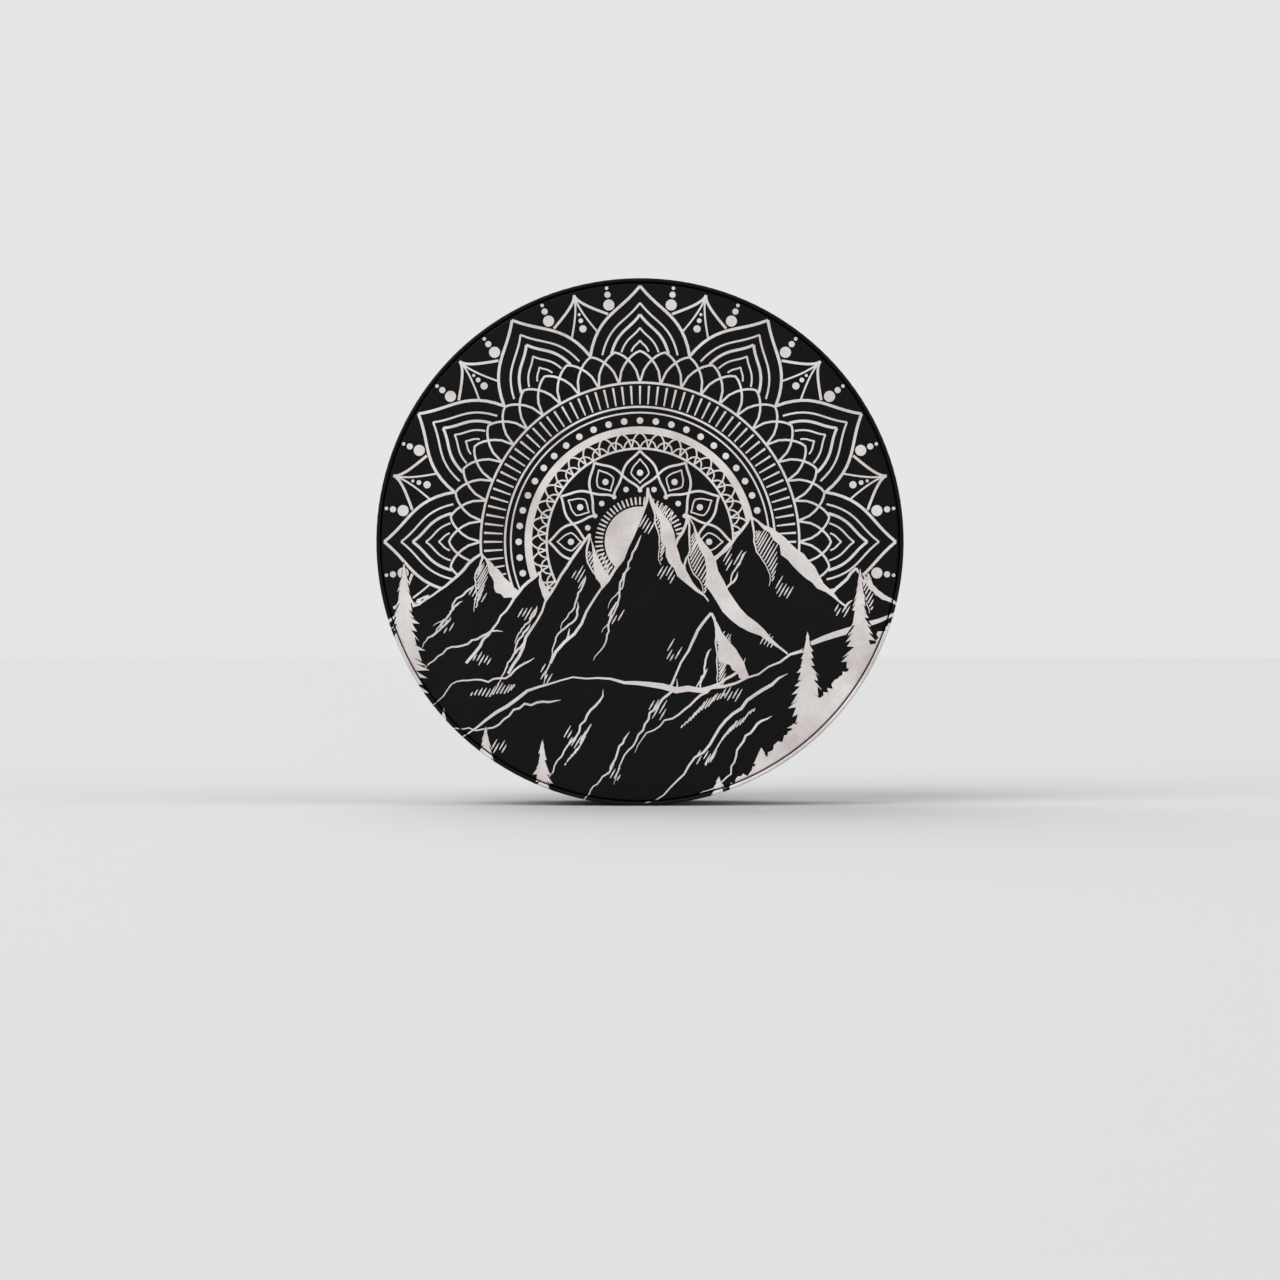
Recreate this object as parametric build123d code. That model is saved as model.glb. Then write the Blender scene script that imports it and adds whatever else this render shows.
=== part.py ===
from build123d import *
import math
import os

# A soft cover for a spare wheel that hangs upright on a vehicle's back.
# Y is the wheel's axis, with the picture face towards -Y and the open mouth towards +Y.
# The origin is the middle of the space that the tyre fills. All sizes are in millimetres.

os.makedirs("parts", exist_ok=True)

# The tyre that the cover is cut for.
tyre_diameter = 815.0
tyre_width = 255.0
tyre_shoulder_radius = 34.0
fit_ease = 0.5

# Cloth, tape and thread thicknesses.
vinyl = 1.2
fleece = 0.8
welt_skin = 0.9
tape = 0.8
ply_gap = 0.1

# The front seam, where face, welt and side band are sewn together.
seam_depth = 12.0
welt_cord_diameter = 3.8
welt_proud = 1.7
welt_forward = 3.1
binding_overlap = 6.0
binding_wall_gap = 0.7
join_tape_width = 24.0
join_tape_gap = 2.0

# The open mouth and its elastic hem.
mouth_radius = 289.0
elastic_width = 12.0
elastic_thickness = 1.3
elastic_margin = 1.0
hem_overlap = 10.0

# Drain eyelets in the lowest part of the side band.
eyelet_hole_radius = 4.0
eyelet_wall = 0.6
eyelet_flange_radius = 9.5
eyelet_flange = 0.8
eyelet_side_angle = 8.0
eyelet_patch_size = 36.0
eyelet_gap = 0.05

# The sewn-in label, left blank.
label_width = 40.0
label_height = 28.0
label_thickness = 0.4
label_above_mouth = 8.0

# Two securing straps across the mouth.
strap_height = 170.0
webbing_width = 25.0
webbing = 1.5
patch_length = 44.0
patch_width = 40.0
patch_thickness = 1.0
patch_corner = 5.0
patch_clearance = 0.8
strap_end_inset = 3.0
tail_length = 112.0
tail_slope = 12.0
loop_length = 52.0
loop_slope = 13.0
slope_corner = 2.0
ply_clearance = 0.15
fold_gap = 0.05

# Side-release buckle. Distances along the strap are measured from the buckle's middle.
bar_radius = 1.6
rail_width = 4.7
rail_thickness = 5.2
shell_thickness = 10.4
plate_thickness = 2.0
side_gap = 0.8
socket_mouth = 11.8
window_length = 9.8
window_front = -2.2
cavity_back = -13.5
shell_back = -18.0
locking_bar = -28.0
end_bar = -38.0
release_travel = 24.0
release_angle = 0.2
prong_root_radius = 2.0
prong_pivot = 13.5
prong_offset = 10.5
prong_arm = 3.0
prong_tip = -11.0
prong_thickness = 5.4
barb_reach = 7.1
barb_length = 3.5
barb_slope = 3.0
barb_proud = 2.2
catch_gap = 0.35
insert_face_gap = 0.5
insert_base = 7.7
insert_bar = 31.0
guide_half_width = 2.2
guide_thickness = 5.0
grip_rib = 1.0
grip_rib_height = 0.5
grip_rib_pitch = 2.1
grip_rib_margin = 6.0
thumb_dish_depth = 0.5
thumb_dish_length = 20.0
thumb_dish_width = 7.0
shell_rim = 0.9
rail_corner = 1.8
rail_end = 1.4

# The elastic loop that keeps the strap's loose end down.
keeper_middle = -110.0
keeper_length = 12.0
keeper_wall = 1.2
keeper_gap = 0.2
keeper_side_gap = 0.4

# Radii and depths that follow from the sizes above.
seat_radius = tyre_diameter / 2 + fit_ease
seat_half = tyre_width / 2 + fit_ease
band_outer = seat_radius + vinyl
face_back = -seat_half - fleece
face_front = face_back - vinyl
allowance_end = face_front + seam_depth
binding_outer = seat_radius - binding_wall_gap
band_turn_outer = binding_outer - tape - ply_gap
flange_outer = band_turn_outer - vinyl
flange_inner = flange_outer - 2 * welt_skin
face_turn_inner = flange_inner - vinyl
welt_radius = welt_cord_diameter / 2 + ply_gap + welt_skin
welt_r = band_outer + welt_proud - welt_radius
welt_y = face_front - welt_forward + welt_radius
flange_corner_y = welt_y + welt_r - (flange_outer + flange_inner) / 2
band_front = flange_corner_y + welt_skin * math.tan(math.radians(22.5)) + ply_gap
return_back = seat_half + vinyl
casing_outer = mouth_radius + welt_skin + elastic_width + 2 * ply_gap + elastic_margin + hem_overlap
band_end = casing_outer - hem_overlap
hem_slot = max(vinyl, elastic_thickness) / 2 + ply_gap
hem_middle = seat_half + vinyl / 2
hem_back = hem_middle + hem_slot + welt_skin
patch_front = return_back + ply_gap
webbing_front = max(hem_back, patch_front + patch_thickness) + ply_clearance
loop_radius = bar_radius + ply_gap + webbing / 2
buckle_y = webbing_front + webbing / 2 + loop_radius
rail_inner = webbing_width / 2 + side_gap
buckle_half_width = rail_inner + rail_width

nodes = {}


def ring(points, name, arc=360.0, start=0.0):
    """Turns a flat outline of (radius, depth) points round the wheel's axis."""
    outline = make_face(Polyline(*points, close=True))
    nodes[name] = Rot(0, start, 0) * revolve(outline, axis=Axis.Y, revolution_arc=arc)


def sewn_strip(points, corner, width, thickness):
    """A flat strap whose edge follows the points, with rounded corners, standing on the XY plane."""
    path = FilletPolyline(*points, radius=corner)
    return extrude(trace(path, thickness), amount=width / 2, both=True)


# The face: one printed disc whose edge turns back into the seam.
ring(
    [
        (0, face_front),
        (flange_inner, face_front),
        (flange_inner, allowance_end),
        (face_turn_inner, allowance_end),
        (face_turn_inner, face_back),
        (0, face_back),
    ],
    "face_panel",
)

# The soft fleece bonded behind the face, so that the tyre doesn't mark the vinyl.
ring(
    [
        (0, face_back),
        (face_turn_inner - ply_gap, face_back),
        (face_turn_inner - ply_gap, face_back + fleece),
        (0, face_back + fleece),
    ],
    "face_backing",
)

# The welt: a cord wrapped in a strip of vinyl, whose flange goes into the seam.
welt_bead = Pos(welt_r, welt_y) * Circle(welt_radius)
welt_tunnel = Pos(welt_r, welt_y) * Circle(welt_radius - welt_skin)
flange_middle = (flange_outer + flange_inner) / 2
welt_flange = trace(
    Polyline((welt_r, welt_y), (flange_middle, flange_corner_y), (flange_middle, allowance_end)),
    2 * welt_skin,
)
nodes["welt_cover"] = revolve(welt_bead + welt_flange - welt_tunnel, axis=Axis.Y)
welt_core = Pos(welt_r, welt_y) * Circle(welt_cord_diameter / 2)
nodes["welt_core"] = revolve(welt_core, axis=Axis.Y)

# The tape folded over the seam's raw edges, inside the cover.
ring(
    [
        (face_turn_inner - ply_gap, allowance_end - binding_overlap),
        (face_turn_inner - ply_gap, allowance_end + ply_gap),
        (band_turn_outer + ply_gap, allowance_end + ply_gap),
        (band_turn_outer + ply_gap, allowance_end - binding_overlap),
        (binding_outer, allowance_end - binding_overlap),
        (binding_outer, allowance_end + ply_gap + tape),
        (face_turn_inner - ply_gap - tape, allowance_end + ply_gap + tape),
        (face_turn_inner - ply_gap - tape, allowance_end - binding_overlap),
    ],
    "front_seam_binding",
)

# The side band: two strips, joined at the top and the bottom, that turn in round the tyre's back shoulder.
shoulder_r = seat_radius - tyre_shoulder_radius
shoulder_y = seat_half - tyre_shoulder_radius
outer_bend = tyre_shoulder_radius + vinyl
diagonal = math.sqrt(0.5)
band_outline = make_face(
    [
        Line((band_outer, band_front), (band_outer, shoulder_y)),
        ThreePointArc(
            (band_outer, shoulder_y),
            (shoulder_r + outer_bend * diagonal, shoulder_y + outer_bend * diagonal),
            (shoulder_r, return_back),
        ),
        Polyline(
            (shoulder_r, return_back),
            (band_end, return_back),
            (band_end, seat_half),
            (shoulder_r, seat_half),
        ),
        ThreePointArc(
            (shoulder_r, seat_half),
            (
                shoulder_r + tyre_shoulder_radius * diagonal,
                shoulder_y + tyre_shoulder_radius * diagonal,
            ),
            (seat_radius, shoulder_y),
        ),
        Polyline(
            (seat_radius, shoulder_y),
            (seat_radius, band_front + vinyl),
            (band_turn_outer, band_front + vinyl),
            (band_turn_outer, allowance_end),
            (flange_outer, allowance_end),
            (flange_outer, band_front),
            (band_outer, band_front),
        ),
    ]
)
band_half = Rot(0, -90, 0) * revolve(band_outline, axis=Axis.Y, revolution_arc=180)
band_side = 1 if band_half.center().X > 0 else -1

# Eyelet holes, one each side of the bottom join.
eyelet_angles = [-eyelet_side_angle, eyelet_side_angle]
eyelet_bore = eyelet_hole_radius + eyelet_wall + ply_gap
hole_depth = 4 * vinyl + 6


def eyelet_tool(radius, top, bottom, angle):
    """A round plug that lies along the radius at an angle from straight down."""
    plug = Pos(0, 0, -(top + bottom) / 2) * Cylinder(radius, bottom - top)
    return Rot(0, angle, 0) * plug


eyelet_holes = [
    eyelet_tool(eyelet_bore, seat_radius - hole_depth, seat_radius + hole_depth, angle)
    for angle in eyelet_angles
]
for name, side in (("side_band_right", 1), ("side_band_left", -1)):
    half = band_half if side == band_side else Rot(0, 180, 0) * band_half
    for hole in eyelet_holes:
        half = half - hole
    nodes[name] = half

# Tapes that cover the band's two joins inside.
tape_arc = math.degrees(join_tape_width / seat_radius)
tape_front = allowance_end + ply_gap + tape + join_tape_gap
for name, turn in (("band_join_tape_top", -90.0), ("band_join_tape_bottom", 90.0)):
    ring(
        [
            (seat_radius - ply_gap, tape_front),
            (seat_radius - ply_gap, shoulder_y),
            (seat_radius - ply_gap - tape, shoulder_y),
            (seat_radius - ply_gap - tape, tape_front),
        ],
        name,
        arc=tape_arc,
    )
    strip = nodes[name]
    middle = strip.center()
    at = math.degrees(math.atan2(-middle.Z, middle.X))
    nodes[name] = Rot(0, turn - at, 0) * strip

# Reinforcing patches behind the eyelets.
patch_outer = seat_radius - ply_gap
patch_inner = patch_outer - patch_thickness
patch_arc = math.degrees(eyelet_patch_size / seat_radius)
patch_outline = make_face(
    Polyline(
        (patch_inner, -eyelet_patch_size / 2),
        (patch_outer, -eyelet_patch_size / 2),
        (patch_outer, eyelet_patch_size / 2),
        (patch_inner, eyelet_patch_size / 2),
        close=True,
    )
)
eyelet_patch = revolve(patch_outline, axis=Axis.Y, revolution_arc=patch_arc)
patch_middle = eyelet_patch.center()
patch_at = math.degrees(math.atan2(-patch_middle.Z, patch_middle.X))
patches = []
for angle, hole in zip(eyelet_angles, eyelet_holes):
    patches.append(Rot(0, 90 + angle - patch_at, 0) * eyelet_patch - hole)
nodes["eyelet_patches"] = Compound(children=[p.solid() for p in patches])

# Each eyelet: an outer flange with a barrel, closed over a washer inside the cover.
flange_top = band_outer + eyelet_gap
washer_outer = patch_inner - (eyelet_flange_radius**2) / (2 * seat_radius) - eyelet_gap
washer_inner = washer_outer - eyelet_flange
barrel_radius = eyelet_hole_radius + eyelet_wall
flange_end = flange_top + eyelet_flange
eyelets = []
washers = []
for angle in eyelet_angles:
    flange = eyelet_tool(eyelet_flange_radius, flange_top, flange_end, angle)
    barrel = eyelet_tool(barrel_radius, washer_inner, flange_end, angle)
    bore = eyelet_tool(eyelet_hole_radius, washer_inner - 1, flange_end + 1, angle)
    eyelets.append(flange + barrel - bore)
    washer = eyelet_tool(eyelet_flange_radius, washer_inner, washer_outer, angle)
    washer_hole = eyelet_tool(eyelet_bore, washer_inner - 1, washer_outer + 1, angle)
    washers.append(washer - washer_hole)
nodes["drain_eyelets"] = Compound(children=[e.solid() for e in eyelets])
nodes["drain_washers"] = Compound(children=[w.solid() for w in washers])

# The hem casing holds the elastic and grips the side band's back edge. Its tape is joined in four quarters.
casing_outline = [
    (mouth_radius, hem_middle - hem_slot - welt_skin),
    (casing_outer, hem_middle - hem_slot - welt_skin),
    (casing_outer, hem_middle - hem_slot),
    (mouth_radius + welt_skin, hem_middle - hem_slot),
    (mouth_radius + welt_skin, hem_middle + hem_slot),
    (casing_outer, hem_middle + hem_slot),
    (casing_outer, hem_back),
    (mouth_radius, hem_back),
]
for start in (0.0, 90.0, 180.0, 270.0):
    ring(casing_outline, "hem_casing", arc=90.0, start=start)
    casing = nodes.pop("hem_casing")
    casing_side = "right" if casing.center().X > 0 else "left"
    casing_level = "upper" if casing.center().Z > 0 else "lower"
    nodes[f"hem_casing_{casing_level}_{casing_side}"] = casing
elastic_inner = mouth_radius + welt_skin + ply_gap
ring(
    [
        (elastic_inner, hem_middle - elastic_thickness / 2),
        (elastic_inner + elastic_width, hem_middle - elastic_thickness / 2),
        (elastic_inner + elastic_width, hem_middle + elastic_thickness / 2),
        (elastic_inner, hem_middle + elastic_thickness / 2),
    ],
    "hem_elastic",
)

# A blank label sewn on the inside, above the mouth.
label_bottom = casing_outer + label_above_mouth
label = Box(label_width, label_thickness, label_height)
label_y = seat_half - ply_gap - label_thickness / 2
nodes["care_label"] = Pos(0, label_y, label_bottom + label_height / 2) * label

# Patches where the strap ends are sewn to the back of the cover.
patch_near = math.sqrt(casing_outer**2 - (strap_height - patch_width / 2) ** 2) + patch_clearance
patch_middle_x = patch_near + patch_length / 2
patch_y = patch_front + patch_thickness / 2
patch_solids = []
for side_x in (-1, 1):
    for side_z in (-1, 1):
        blank = Rectangle(patch_length, patch_width)
        blank = fillet(blank.vertices(), patch_corner)
        sheet = extrude(Plane.XZ * blank, amount=patch_thickness / 2, both=True)
        patch_solids.append(Pos(side_x * patch_middle_x, patch_y, side_z * strap_height) * sheet)
nodes["strap_patches"] = Compound(children=[p.solid() for p in patch_solids])

strap_end = patch_near + patch_length - strap_end_inset
front_ply = webbing_front + webbing / 2
back_ply = front_ply + webbing + fold_gap
loop_top = buckle_y + loop_radius

# The left webbing: sewn to its patch, round the locking bar, and back as a loose end.
left_turn = locking_bar + loop_radius
left_points = [
    (-strap_end, front_ply),
    (left_turn, front_ply),
    (left_turn, loop_top),
    (end_bar - bar_radius, loop_top),
    (end_bar - tail_slope, back_ply),
    (end_bar - tail_length, back_ply),
]
loop_corner = loop_radius - 0.02
strap_corners = [loop_corner, loop_corner, slope_corner, slope_corner]

# The right webbing: sewn to its patch, round the insert's bar, and sewn back on itself.
right_turn = insert_bar - loop_radius
right_points = [
    (strap_end, front_ply),
    (right_turn, front_ply),
    (right_turn, loop_top),
    (insert_bar + bar_radius, loop_top),
    (insert_bar + loop_slope, back_ply),
    (insert_bar + loop_length, back_ply),
]

left_webbing = sewn_strip(left_points, strap_corners, webbing_width, webbing)
right_webbing = sewn_strip(right_points, strap_corners, webbing_width, webbing)

# The socket: a flat shell open at its mouth and its sides, with a ladder for the webbing behind it.
half_shell = shell_thickness / 2
window_back = window_front - window_length
barb_back = window_front - 0.3
waist = prong_offset + barb_reach - barb_proud
wall_start = prong_offset + barb_reach + catch_gap
catch_lever = prong_pivot - barb_back
catch_retreat = catch_lever * math.sin(release_angle) + barb_reach * (1 - math.cos(release_angle))
catch_advance = release_travel - barb_reach * math.sin(release_angle)
retract_rate = catch_retreat / catch_advance
wall_end = wall_start - retract_rate * (socket_mouth - window_front)


def mirrored_outline(points):
    """A flat outline in the strap's plane from the points of its upper half, mirrored below."""
    lower = [(x, -z) for x, z in reversed(points)]
    return Plane.XZ * make_face(Polyline(*points, *lower, close=True))


shell_outline = mirrored_outline(
    [
        (shell_back, buckle_half_width - 0.4),
        (window_back - 1.5, buckle_half_width - 0.8),
        (window_back + 1.0, waist),
        (window_front - 1.0, waist),
        (window_front, buckle_half_width),
        (socket_mouth - 1.5, buckle_half_width),
        (socket_mouth, buckle_half_width - 1.5),
    ]
)
shell = extrude(shell_outline, amount=half_shell, both=True)
rims = shell.faces().sort_by(Axis.Y)
shell = chamfer(rims[0].edges() + rims[-1].edges(), shell_rim)
cavity_outline = mirrored_outline(
    [
        (cavity_back, prong_offset + 3.0),
        (window_back, prong_offset + 3.0),
        (window_back, buckle_half_width + 2),
        (window_front, buckle_half_width + 2),
        (window_front, wall_start),
        (socket_mouth + 1, wall_end - retract_rate),
    ]
)
cavity = extrude(cavity_outline, amount=half_shell - plate_thickness, both=True)
rail_back = end_bar - bar_radius - rail_end
rail_long = shell_back + 1.0 - rail_back
rail_blank = Plane.XZ * Rectangle(rail_long, rail_width)
rail = extrude(rail_blank, amount=rail_thickness / 2, both=True)
rail = fillet(rail.edges().filter_by(Axis.Y).sort_by(Axis.X)[:2], rail_corner)
socket = shell - cavity
for side_z in (-1, 1):
    rail_z = side_z * (rail_inner + rail_width / 2)
    socket = socket + Pos(rail_back + rail_long / 2, 0, rail_z) * rail
dish_shape = SlotOverall(thumb_dish_length, thumb_dish_width, rotation=90)
dish_blank = Plane.XZ * Pos((window_front + socket_mouth) / 2, 0) * dish_shape
for side_y in (-1, 1):
    dish = extrude(dish_blank, amount=thumb_dish_depth, both=True)
    socket = socket - Pos(0, side_y * half_shell, 0) * dish
for bar_x in (locking_bar, end_bar):
    socket = socket + Pos(bar_x, 0, 0) * Cylinder(bar_radius, 2 * rail_inner + 1)

# The insert: a grip block with a centre guide and a bar, which the two prongs are moulded to.
insert_front = socket_mouth + insert_face_gap
insert_back = insert_front + insert_base
base_outline = mirrored_outline(
    [
        (insert_front, buckle_half_width - 1.6),
        (insert_front + 1.2, buckle_half_width - 0.4),
        (insert_back, buckle_half_width - 0.4),
    ]
)
base = extrude(base_outline, amount=half_shell - 0.2, both=True)
base_rims = base.faces().sort_by(Axis.Y)
base = chamfer(base_rims[0].edges() + base_rims[-1].edges(), shell_rim)
guide_outline = mirrored_outline(
    [
        (prong_tip + 2, guide_half_width - 1.0),
        (prong_tip + 4, guide_half_width),
        (insert_front + 1, guide_half_width),
    ]
)
guide = extrude(guide_outline, amount=guide_thickness / 2, both=True)
insert_end = insert_bar + bar_radius + rail_end
insert_rail_long = insert_end - insert_back + 1.0
insert_rail_blank = Plane.XZ * Rectangle(insert_rail_long, rail_width)
insert_rail = extrude(insert_rail_blank, amount=rail_thickness / 2, both=True)
insert_rail = fillet(insert_rail.edges().filter_by(Axis.Y).sort_by(Axis.X)[-2:], rail_corner)
insert = base + guide
for side_z in (-1, 1):
    pocket = Pos(prong_pivot, 0, side_z * prong_offset) * Rot(90, 0, 0)
    insert = insert - pocket * Cylinder(prong_root_radius + 0.3, prong_thickness + 0.6)
    rail_z = side_z * (rail_inner + rail_width / 2)
    insert = insert + Pos(insert_end - insert_rail_long / 2, 0, rail_z) * insert_rail
insert = insert + Pos(insert_bar, 0, 0) * Cylinder(bar_radius, 2 * rail_inner + 1)
base_face = half_shell - 0.2
grip_shape = SlotOverall(2 * (buckle_half_width - grip_rib_margin), grip_rib, rotation=90)
grip_blank = Plane.XZ * grip_shape
grip = extrude(grip_blank, amount=base_face + grip_rib_height, both=True)
grip = grip - Box(grip_rib * 2, 2 * base_face - 1, 2 * buckle_half_width)
for step in (-1, 0, 1):
    rib_x = (insert_front + insert_back) / 2 + step * grip_rib_pitch
    insert = insert + Pos(rib_x, 0, 0) * grip

# One prong: a springy arm with a round root and a sloped barb that stands in the socket's side window.
arm_in = prong_offset - prong_arm / 2
arm_out = prong_offset + prong_arm / 2
barb_out = prong_offset + barb_reach
prong_face = Plane.XZ * make_face(
    Polyline(
        (prong_pivot, arm_in),
        (prong_pivot, arm_out),
        (barb_back + barb_slope, arm_out),
        (barb_back, barb_out),
        (barb_back - barb_length, barb_out),
        (prong_tip, arm_out + 0.5),
        (prong_tip, arm_in + 0.8),
        (prong_tip + 1.5, arm_in),
        close=True,
    )
)
prong_blade = extrude(prong_face, amount=prong_thickness / 2, both=True)
prong_root = Pos(prong_pivot, 0, prong_offset) * Rot(90, 0, 0) * Cylinder(
    prong_root_radius, prong_thickness
)
prong_high = prong_blade + prong_root
prong_low = mirror(prong_high, about=Plane.XY)

# The keeper: a flat elastic loop round both plies of the left webbing.
keeper_bottom = webbing_front - keeper_gap
keeper_top = back_ply + webbing / 2 + keeper_gap
keeper_half = webbing_width / 2 + keeper_side_gap
keeper_tall = keeper_top - keeper_bottom
keeper_outline = Rectangle(keeper_tall + 2 * keeper_wall, 2 * (keeper_half + keeper_wall))
keeper_outline = fillet(keeper_outline.vertices(), keeper_wall)
keeper_outline = keeper_outline - Rectangle(keeper_tall, 2 * keeper_half)
keeper = extrude(Plane.YZ * keeper_outline, amount=keeper_length / 2, both=True)

# The same strap is fitted above and below the middle.
for strap, height in (("upper", strap_height), ("lower", -strap_height)):
    at_buckle = Pos(0, buckle_y, height)
    nodes[f"{strap}_webbing_left"] = Pos(0, 0, height) * left_webbing
    nodes[f"{strap}_webbing_right"] = Pos(0, 0, height) * right_webbing
    nodes[f"{strap}_buckle_socket"] = at_buckle * socket
    nodes[f"{strap}_buckle_insert"] = at_buckle * insert
    nodes[f"{strap}_prong_high"] = at_buckle * prong_high
    nodes[f"{strap}_prong_low"] = at_buckle * prong_low
    at_keeper = Pos(keeper_middle, (keeper_bottom + keeper_top) / 2, height)
    nodes[f"{strap}_tail_keeper"] = at_keeper * keeper

for name, shape in nodes.items():
    export_step(shape, f"parts/{name}.step")

print("outside diameter", round(2 * (welt_r + welt_radius), 1))
print("front", round(welt_y - welt_radius, 2), "back", round(buckle_y + half_shell, 2))
print("buckle middle y", round(buckle_y, 3), "webbing front y", round(webbing_front, 3))
print("binding inner radius", round(face_turn_inner - ply_gap - tape, 2), "patch x", round(patch_near, 2))
print("eyelet barrel", round(washer_inner, 2), round(flange_top + eyelet_flange, 2))
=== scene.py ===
import math

import bmesh
import bpy
import numpy as np
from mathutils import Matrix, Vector
from mathutils.geometry import delaunay_2d_cdt


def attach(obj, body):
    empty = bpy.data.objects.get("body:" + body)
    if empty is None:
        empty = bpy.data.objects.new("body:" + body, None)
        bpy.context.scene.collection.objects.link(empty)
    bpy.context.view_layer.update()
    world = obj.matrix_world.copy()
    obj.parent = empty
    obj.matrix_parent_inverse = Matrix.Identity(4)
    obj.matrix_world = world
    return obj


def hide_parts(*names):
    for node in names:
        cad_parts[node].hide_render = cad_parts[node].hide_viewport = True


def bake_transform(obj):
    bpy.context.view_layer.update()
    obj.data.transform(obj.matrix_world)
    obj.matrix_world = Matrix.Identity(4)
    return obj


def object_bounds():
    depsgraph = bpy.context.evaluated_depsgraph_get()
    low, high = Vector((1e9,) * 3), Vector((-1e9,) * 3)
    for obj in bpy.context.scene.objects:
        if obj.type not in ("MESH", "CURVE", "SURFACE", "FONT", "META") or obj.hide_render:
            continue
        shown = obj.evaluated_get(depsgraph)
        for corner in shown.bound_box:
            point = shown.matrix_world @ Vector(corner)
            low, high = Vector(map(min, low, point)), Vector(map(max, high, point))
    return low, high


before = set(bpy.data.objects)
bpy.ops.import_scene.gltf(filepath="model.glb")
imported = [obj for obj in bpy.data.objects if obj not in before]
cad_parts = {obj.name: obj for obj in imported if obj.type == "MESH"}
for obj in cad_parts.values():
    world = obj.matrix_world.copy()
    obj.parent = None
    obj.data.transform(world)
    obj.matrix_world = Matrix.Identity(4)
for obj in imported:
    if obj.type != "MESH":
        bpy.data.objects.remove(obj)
cad_low, cad_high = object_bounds()

# ---- Camera and stage ----
# A long lens looks level and straight at the picture face, a little below its middle.
# A pale floor and soft light from above, both sides and behind keep the black cloth black.
scene = bpy.context.scene
scene.view_settings.view_transform = "Standard"
camera_data = bpy.data.cameras.new("camera")
camera_data.lens = 124
camera_data.sensor_width = 36
camera = bpy.data.objects.new("camera", camera_data)
camera.location = (0, -7, -0.153)
camera.rotation_euler = (math.radians(90), 0, 0)
scene.collection.objects.link(camera)
scene.camera = camera

floor_mesh = bpy.data.meshes.new("studio_floor")
floor_form = bmesh.new()
bmesh.ops.create_circle(floor_form, cap_ends=True, radius=60, segments=96)
floor_form.to_mesh(floor_mesh)
floor_form.free()
studio_floor = bpy.data.objects.new("studio_floor", floor_mesh)
studio_floor.location = (0, 0, cad_low.z - 0.0005)
scene.collection.objects.link(studio_floor)
floor_paint = bpy.data.materials.new("studio_floor_paint")
floor_paint.use_nodes = True
floor_shader = floor_paint.node_tree.nodes["Principled BSDF"]
floor_shader.inputs["Base Color"].default_value = (0.57, 0.57, 0.565, 1)
floor_shader.inputs["Roughness"].default_value = 0.85
floor_mesh.materials.append(floor_paint)

for lamp_name, strength, spread, turn in (
    ("key_light", 2.3, 50, (52, 0, -38)),
    ("side_light", 1.1, 60, (60, 0, 62)),
    ("back_light", 1.5, 60, (48, 0, 205)),
):
    lamp_data = bpy.data.lights.new(lamp_name, "SUN")
    lamp_data.energy = strength
    lamp_data.angle = math.radians(spread)
    lamp = bpy.data.objects.new(lamp_name, lamp_data)
    lamp.rotation_euler = [math.radians(angle) for angle in turn]
    scene.collection.objects.link(lamp)

studio_air = bpy.data.worlds.new("studio_air")
studio_air.use_nodes = True
scene.world = studio_air
air_nodes, air_links = studio_air.node_tree.nodes, studio_air.node_tree.links
air_light = air_nodes["Background"]
air_light.inputs["Color"].default_value = (0.9, 0.94, 1.0, 1)
air_light.inputs["Strength"].default_value = 0.34
air_seen = air_nodes.new("ShaderNodeBackground")
air_seen.inputs["Color"].default_value = (0.93, 0.93, 0.925, 1)
air_seen.inputs["Strength"].default_value = 0.85
air_choice = air_nodes.new("ShaderNodeMixShader")
air_rays = air_nodes.new("ShaderNodeLightPath")
air_links.new(air_rays.outputs["Is Camera Ray"], air_choice.inputs["Fac"])
air_links.new(air_light.outputs["Background"], air_choice.inputs[1])
air_links.new(air_seen.outputs["Background"], air_choice.inputs[2])
air_links.new(air_choice.outputs["Shader"], air_nodes["World Output"].inputs["Surface"])

# ---- Side band ----
# Two strips of black leather-grain vinyl on a knitted backing, sewn end to end at the top and the bottom.
# Each runs back over the tyre's tread, turns in round the shoulder and is gathered into the hem.
vinyl_wall = 0.0012
seat_r = 0.408
front_edge_y = -0.1260
shoulder_y = 0.094
shoulder_bend = 0.034
return_y = 0.1280
return_inner_r = 0.3031


class Signal:
    """One output socket in a tree of nodes. Arithmetic on it adds Math nodes."""

    def __init__(self, socket):
        self.socket = socket

    def node(self, kind, settings=None, sockets=None, output=0):
        made = self.socket.id_data.nodes.new(kind)
        for name, value in (settings or {}).items():
            if name == "stops":
                while len(made.color_ramp.elements) < len(value):
                    made.color_ramp.elements.new(1)
                for stop, (place, colour) in zip(made.color_ramp.elements, value):
                    stop.position, stop.color = place, (*colour, 1)
            else:
                setattr(made, name, value)
        for name, value in (sockets or {}).items():
            if isinstance(value, Signal):
                self.socket.id_data.links.new(value.socket, made.inputs[name])
            else:
                made.inputs[name].default_value = value
        return Signal(made.outputs[output])

    def math(self, operation, other=0.0):
        return self.node("ShaderNodeMath", {"operation": operation}, {0: self, 1: other})

    def __add__(self, other):
        return self.math("ADD", other)

    def __sub__(self, other):
        return self.math("SUBTRACT", other)

    def __rsub__(self, other):
        return self.node("ShaderNodeMath", {"operation": "SUBTRACT"}, {0: other, 1: self})

    def __mul__(self, other):
        return self.math("MULTIPLY", other)

    def __pow__(self, other):
        return self.math("POWER", other)

    __radd__, __rmul__ = __add__, __mul__


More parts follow.
